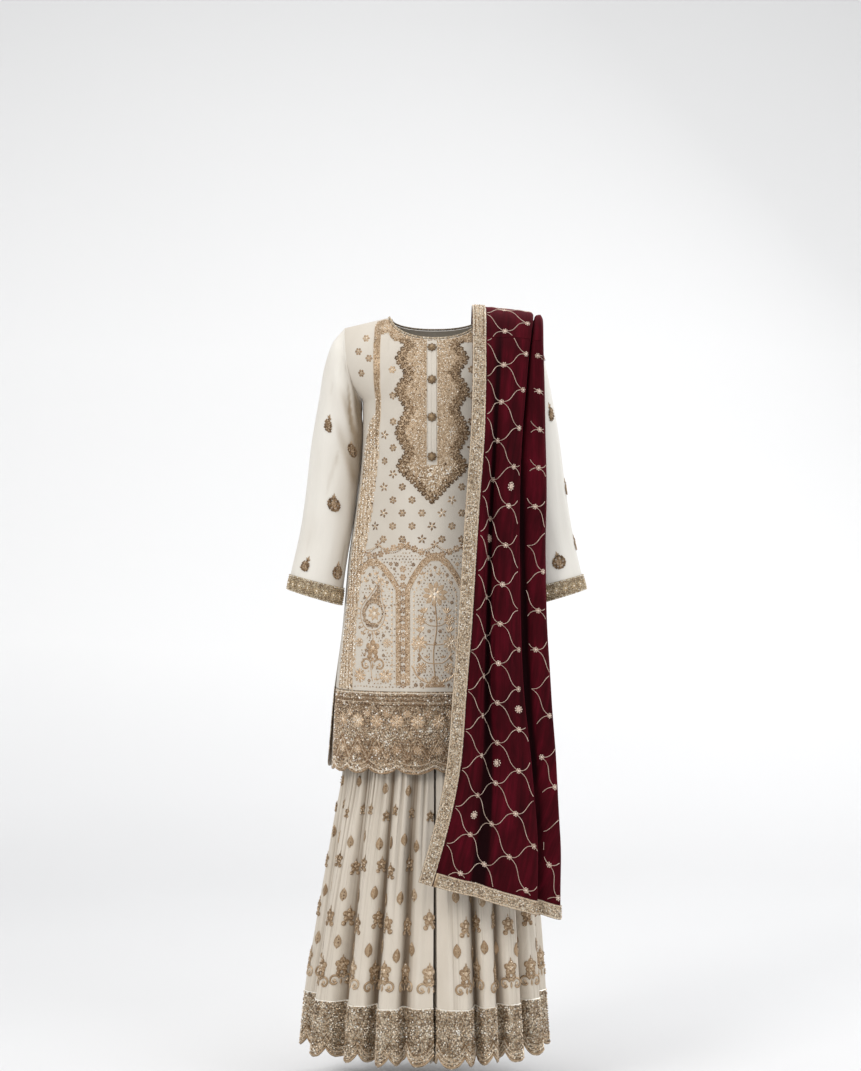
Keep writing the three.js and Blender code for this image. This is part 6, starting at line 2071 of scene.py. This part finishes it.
# ------------------------------------------------------------------ sharara embroidery
LEG_ROWS = [(-742, "none"), (-792, "oval", 0.7), (-842, "oval", 0.8), (-892, "oval", 0.9), (-940, "sprig", 0.55), (-992, "oval", 1.0), (-1040, "sprig", 0.8), (-1092, "oval", 1.05), (-1142, "sprig", 1.0), (-1188, "oval", 1.1), (-1240, "curl", 1.0)]
leg_work, leg_hem_work = {}, {}
for name, hand in (("right", -1), ("left", 1)):
    g = legs[name]
    G = Ground("grid", g)
    work = Bag()
    zs = g.z_values
    step = zs[1] - zs[0]
    n = 17
    ats = even_at(hand, 400, -1240)
    outer_share = (ats <= 1.0).mean()
    places = {"oval": [], "sprig": [], "curl": []}
    for j, row in enumerate(LEG_ROWS):
        if row[1] == "none":
            continue
        z, kind, size = row
        for i in range(n):
            q = (i + 0.5 * (j % 2) + 0.25) / n * outer_share
            a = float(np.interp(q * 400, np.arange(400), ats))
            if a > 0.985 or a < 0.012:
                continue
            # each place moves a little, as gathered cloth takes it
            a = a + 0.006 * math.sin(7 * i + 3 * j)
            c0 = float(np.interp(a, g.at_values, np.arange(g.C)))
            zz = z + 7 * math.sin(2.3 * i + j) * (0.5 if kind == "curl" else 1)
            if z > -900 and (i + j) % 2:
                continue
            places[kind].append(((zz - zs[0]) / step, c0, 0.05 * math.sin(i * 3.1 + j), size, 1))
    on = raised(G, 0.9)
    stamp(work, buti_oval(24, 14.5), places["oval"], on, rng, 0.05)
    stamp(work, buti_sprig(46), places["sprig"], on, rng, 0.05)
    stamp(work, buti_curl(66), places["curl"], on, rng, 0.05)
    leg_work[name] = wear(work.build(f"sharara_leg_{name}_work", WORK_PALE), f"sharara_leg_{name}")

    # border: beads over the lace, a pale line at its top, cords that follow the scallops
    h = leg_hems[name]
    work = Bag()
    Wh = float(h.W.mean())
    pitch = 4.9
    nr_, nc_ = int(104 / (pitch * 0.87)), int(Wh / pitch)
    J, I = np.meshgrid(np.arange(nr_), np.arange(nc_), indexing="ij")
    r0 = (J.ravel() + rng.uniform(0.15, 0.85, J.size)) / nr_ * (h.R - 1)
    c0 = np.mod((I.ravel() + 0.5 * (J.ravel() % 2) + rng.uniform(-0.35, 0.35, J.size)) / nc_ * h.C, h.C)
    P_, N_ = h.at(r0, c0)
    keep = r0 < (h.R - 1) * 0.97
    P_, N_, r0, c0 = P_[keep], N_[keep], r0[keep], c0[keep]
    phase = c0 / h.C * LEG_SCALLOPS
    v = r0 / (h.R - 1)
    wave = np.cos(2 * np.pi * phase) * 0.5 + 0.5
    tone = 0.53 + 0.16 * np.sign(np.sin(2 * np.pi * (phase + v * 1.2)) * np.sin(2 * np.pi * (phase - v * 1.2))) + rng.normal(0, 0.2, len(v))
    tone = np.where(rng.random(len(v)) < 0.02, 1.05, tone)
    beads(work, P_ + N_ * 0.45, N_, 1.95 * rng.uniform(0.75, 1.2, len(v)), tone, rng)
    for row_r, w_, t_ in ((0.05, 2.2, 1.0), (0.6, 1.5, 0.2)):
        c_ = np.arange(0, h.C, 1.4)
        P_, N_ = h.at(np.full(len(c_), row_r), c_)
        if t_ > 0.9:
            line_on(work, np.concatenate([P_, P_[:1]]) + np.concatenate([N_, N_[:1]]) * 0.7, np.concatenate([N_, N_[:1]]), 2.4, 1.3, 1.0, rng, 0.03)
        else:
            beads(work, P_ + N_ * 0.8, N_, 1.1, t_ + rng.normal(0, 0.06, len(c_)), rng)
    t_ = np.arange(h.C, dtype=float)
    zc = np.abs(2 * np.mod(t_ / h.C * LEG_SCALLOPS, 1.0) - 1)
    for lift_, w_, tint_, hh in ((3.2, 4.2, 0.42, 2.6), (10.0, 2.2, 0.80, 2.7), (22, 2.4, 0.72, 2.7), (27, 1.8, 0.22, 2.5)):
        z_ = hem_z(t_ / h.C, LEG_SCALLOPS, LEG_HEM, LEG_SCALLOP) + lift_ * (1 if lift_ < 20 else 1.0) + (np.sin(np.pi * (1 - zc) / 2) * -5.0 if lift_ > 20 else 0)
        span = (LEG_BAND - 0.3) - h.low
        r_ = (LEG_BAND - 0.3 - z_) / span * (h.R - 1)
        P_, N_ = h.at(r_, t_)
        d_ = np.roll(P_, -1, 0) - np.roll(P_, 1, 0)
        s_ = np.cross(d_, N_)
        s_ /= np.linalg.norm(s_, axis=1, keepdims=True)
        n_ = len(P_)
        V = np.concatenate([P_ - s_ * w_ / 2 - N_ * 0.25, P_ + N_ * hh, P_ + s_ * w_ / 2 - N_ * 0.25])
        i_ = np.arange(n_)
        k_ = (i_ + 1) % n_
        F = np.concatenate([np.stack([i_, k_, n_ + k_, n_ + i_], 1), np.stack([n_ + i_, n_ + k_, 2 * n_ + k_, 2 * n_ + i_], 1), np.stack([2 * n_ + i_, 2 * n_ + k_, k_, i_], 1)])
        T = np.concatenate([F[:, [0, 1, 2]], F[:, [0, 2, 3]]])
        a_, b_, e_ = V[T[:, 0]], V[T[:, 1]], V[T[:, 2]]
        cc_ = V.reshape(3, n_, 3).mean(0)
        top_n = np.cross(b_ - a_, e_ - a_)[: n_]
        if np.einsum("ij,ij->", top_n, N_) < 0:
            T = T[:, ::-1]
        # painted highlight on the crest of each cord, painted shade on its sides
        work.add(V, T, np.concatenate([np.full(n_, tint_ - 0.1), np.full(n_, tint_ + 0.06), np.full(n_, tint_ - 0.1)]))
    leg_hem_work[name] = wear(work.build(f"sharara_border_{name}_work", WORK_PALE), f"sharara_border_{name}")

# ------------------------------------------------------------------ dupatta embroidery
STEP_A, STEP_B = (44.0, -49.0), (43.5, 24.0)  # the two slanting sides of a lattice cell
# On a flat cloth the lattice is counted from the long edge (x) and from the shoulder (s).
shoulder_row = int(np.searchsorted(along, knots[12]))


def lattice_pieces(name):
    r0g, r1g = spans[name]
    g = dupatta_grids[name]
    G = Ground("grid", g)
    rows = np.arange(r0g, r1g + 1)
    s_of = along[r0g : r1g + 1] - along[shoulder_row]
    work = Bag()
    # widest reach of the showing top layer, and where the outer layer starts, by row
    lo_s, hi_s = s_of[0], s_of[-1]
    total = g.W

    edge_x = np.interp(rows, knots_rows, edge_arc)
    out_a = np.interp(rows, knots_rows, outer_a)
    out_b = np.interp(rows, knots_rows, outer_b)

    def shows(r, x):
        e, a, b = (np.interp(r, np.arange(len(rows)), q) for q in (edge_x, out_a, out_b))
        return ((x > EDGE_BAND + 2) & (x < e - 3)) | ((x > a + 4) & (x < b - 3))

    def to_grid(x, s):
        r = np.interp(s, s_of, np.arange(len(rows)))
        c = g.column(r, np.clip(x, 0, None))
        return r, c

    lines, flowers, discs = [], [], []
    (ax, as_), (bx, bs) = STEP_A, STEP_B
    t = np.linspace(0, 1, 12)
    wave = 0.055 * np.sin(2 * np.pi * t)
    for m_ in range(-40, 41):
        for n_ in range(-40, 41):
            x, q = 18 + m_ * ax + n_ * bx, 12 + m_ * as_ + n_ * bs
            if x < -60 or x > 620 or q < lo_s - 80 or q > hi_s + 80:
                continue
            flowers.append((x, q))
            # each side of a cell sways once between its two nodes
            lines.append(np.stack([x + ax * (t + wave), q + as_ * (t - wave)], 1))
            lines.append(np.stack([x + bx * (t + wave * 0.9), q + bs * (t - wave * 3.0)], 1))
            if (m_ * 3 + n_ * 5) % 7 == 0:
                discs.append((x + (ax + bx) / 2, q + (as_ + bs) / 2))
    for line in lines:
        ok = (line[:, 1] > lo_s + 27 * (name == "front")) & (line[:, 1] < hi_s - 27 * (name == "back")) & (line[:, 0] > 0)
        r, c = to_grid(line[:, 0], line[:, 1])
        ok &= shows(r, line[:, 0]) & (line[:, 0] < np.interp(r, np.arange(len(rows)), total) - 2)
        k = 0
        while k < len(line):
            if not ok[k]:
                k += 1
                continue
            e = k
            while e + 1 < len(line) and ok[e + 1]:
                e += 1
            if e - k >= 2:
                P_, N_ = g.at(r[k : e + 1], c[k : e + 1])
                line_on(work, P_, N_, 1.55, 0.9, 0.6, rng)
            k = e + 1

    def visible(places, margin):
        a = np.array(places)
        r, c = to_grid(a[:, 0], a[:, 1])
        ok = (a[:, 1] > lo_s + margin + 24 * (name == "front")) & (a[:, 1] < hi_s - margin - 24 * (name == "back")) & shows(r, a[:, 0] - margin * 0.6) & shows(r, a[:, 0] + margin * 0.6)
        return [(rr, cc, k * 0.7, 1.0, 1) for k, (rr, cc) in enumerate(zip(r[ok], c[ok]))]

    s = Stencil()
    for k in range(7):
        s.dome(4.0 * math.cos(k * 0.898), 4.0 * math.sin(k * 0.898), 1.9, sides=5, high=1.2, tint=0.5 + 0.08 * (k % 2))
    s.dome(0, 0, 2.9, sides=6, high=1.9, tint=0.74)
    stamp(work, s, visible(flowers, 4), G, rng, 0.06)
    s = Stencil()
    s.dome(0, 0, 6.6, sides=9, high=1.0, tint=0.42)
    for k in range(9):
        s.dome(5.9 * math.cos(k * 0.698), 7.2 * math.sin(k * 0.698), 2.0, sides=5, high=1.5, tint=0.6)
    for k in range(5):
        s.bead(2.6 * math.cos(k * 1.257), 3.0 * math.sin(k * 1.257), 1.5, 0.9)
    stamp(work, s, visible(discs, 8), G, rng, 0.06)
    return wear(work.build(f"dupatta_{name}_lattice", CREAM), f"dupatta_{name}")


# lengths across the cloth, at the table's rows, of the places where its layers turn
knots_rows = np.searchsorted(along, knots).clip(0, DROWS - 1)
edge_arc, outer_a, outer_b = [], [], []
for k, rr in enumerate(DUPATTA):
    pts = dupatta_row(rr)
    arc = np.concatenate([[0], np.cumsum(np.linalg.norm(np.diff(pts, axis=0), axis=1))])
    scale_ = whole.W[knots_rows[k]] / arc[-1]
    edge_arc.append(arc[8] * scale_)
    outer_a.append(arc[15] * scale_)
    outer_b.append(arc[18] * scale_)
lattices = {name: lattice_pieces(name) for name in spans}


def band_beads(name, g, dense=3.7):
    """The granular border: rows of beads between paler lines."""
    work = Bag()
    rows_len = float(g.L[-1].mean())
    across = float(g.W.mean())
    if name.startswith("edge"):
        nr_, nc_ = int(rows_len / dense), int(across / dense)
    else:
        nr_, nc_ = int(rows_len / dense), int(across / dense)
    J, I = np.meshgrid(np.arange(nr_), np.arange(nc_), indexing="ij")
    r0 = (J.ravel() + 0.5 + rng.uniform(-0.3, 0.3, J.size)) / nr_ * (g.R - 1)
    c0 = (I.ravel() + 0.5 + rng.uniform(-0.25, 0.25, J.size)) / nc_ * (g.C - 1)
    u_ = c0 / (g.C - 1) if name.startswith("edge") else r0 / (g.R - 1)
    lines = (np.abs(u_ - 0.08) < 0.07) | (np.abs(u_ - 0.92) < 0.07) | (np.abs(u_ - 0.36) < 0.035) | (np.abs(u_ - 0.64) < 0.035)
    P_, N_ = g.at(r0, c0)
    beads(work, P_ + N_ * 1.8, N_, np.where(lines, 1.35, 1.75) * rng.uniform(0.8, 1.15, len(r0)), np.where(lines & (name == "edge_shoulder"), 0.84, 0.55) + rng.normal(0, 0.24, len(r0)), rng)
    marks = ((0.07, 1.8, 0.74), (0.93, 1.8, 0.74))
    if name == "edge_shoulder":
        marks += ((0.20, 1.5, 0.2), (0.80, 1.5, 0.2), (0.38, 1.5, 0.75), (0.62, 1.5, 0.75))
    if name.startswith("hem"):  # the lap where the end border meets the long border
        r_ = np.linspace(0.1, g.R - 1.1, 9)
        for c_at, w_ in ((0.05, 4.6), (0.35, 3.6)):
            P_, N_ = g.at(r_, np.full(9, c_at))
            line_on(work, P_ + N_ * 1.4, N_, w_, 1.8, 0.46, rng, 0.12)
    for u_line, w_, t_ in marks:
        if name.startswith("edge"):
            r_ = np.linspace(0.1, g.R - 1.1, int(rows_len / 5))
            c_ = np.full(len(r_), u_line * (g.C - 1))
        else:
            c_ = np.linspace(0.1, g.C - 1.1, int(across / 5))
            r_ = np.full(len(c_), u_line * (g.R - 1))
        P_, N_ = g.at(r_, c_)
        line_on(work, P_ + N_ * 2.0, N_, w_, 1.2, t_, rng, 0.04)
    return wear(work.build(f"dupatta_{name}_work", WORK_PALE), f"dupatta_{name}")


band_works = {k: band_beads(k, dupatta_grids[k]) for k in ("edge_front", "edge_shoulder", "edge_back", "hem_front", "hem_back")}


# ------------------------------------------------------------------ floor and backdrop
def backdrop():
    prof = [(-7.0, FLOOR_Z), (2.2, FLOOR_Z)]
    for k in range(1, 13):
        a = math.radians(90 * k / 12)
        prof.append((2.2 + 1.6 * math.sin(a), FLOOR_Z + 1.6 * (1 - math.cos(a))))
    prof.append((3.8, 5.0))
    V = []
    for y, z in prof:
        V += [(-9, y, z), (9, y, z)]
    F = [(2 * i, 2 * i + 1, 2 * i + 3, 2 * i + 2) for i in range(len(prof) - 1)]
    me = bpy.data.meshes.new("backdrop")
    me.from_pydata(V, [], F)
    me.polygons.foreach_set("use_smooth", np.ones(len(F), bool))
    mat, nt, bsdf = nodes_of("pale_floor")
    place = coords(nt, "Object")
    sep = nt.nodes.new("ShaderNodeSeparateXYZ")
    nt.links.new(place, sep.inputs[0])
    spots = math_node(nt, "MULTIPLY", math_node(nt, "SUBTRACT", noise(nt, place, 0.8, 2.0), 0.5), 0.05)
    height = math_node(nt, "ADD", math_node(nt, "MULTIPLY", math_node(nt, "ADD", sep.outputs[2], 1.48), 1 / 3.2), spots)
    # Tone of the sweep by height: darker on the floor and again towards the top, lightest between, painted shade for
    # the fall-off of the studio light; spots is random mottle.
    nt.links.new(ramp(nt, [(0.0, (0.765, 0.765, 0.77)), (0.06, (0.83, 0.83, 0.835)), (0.2, (0.93, 0.93, 0.93)), (0.55, (0.93, 0.93, 0.93)), (0.95, (0.79, 0.79, 0.79))], height), bsdf.inputs["Base Color"])
    bsdf.inputs["Roughness"].default_value = 0.75
    me.materials.append(mat)
    o = bpy.data.objects.new("backdrop", me)
    scene.collection.objects.link(o)


backdrop()
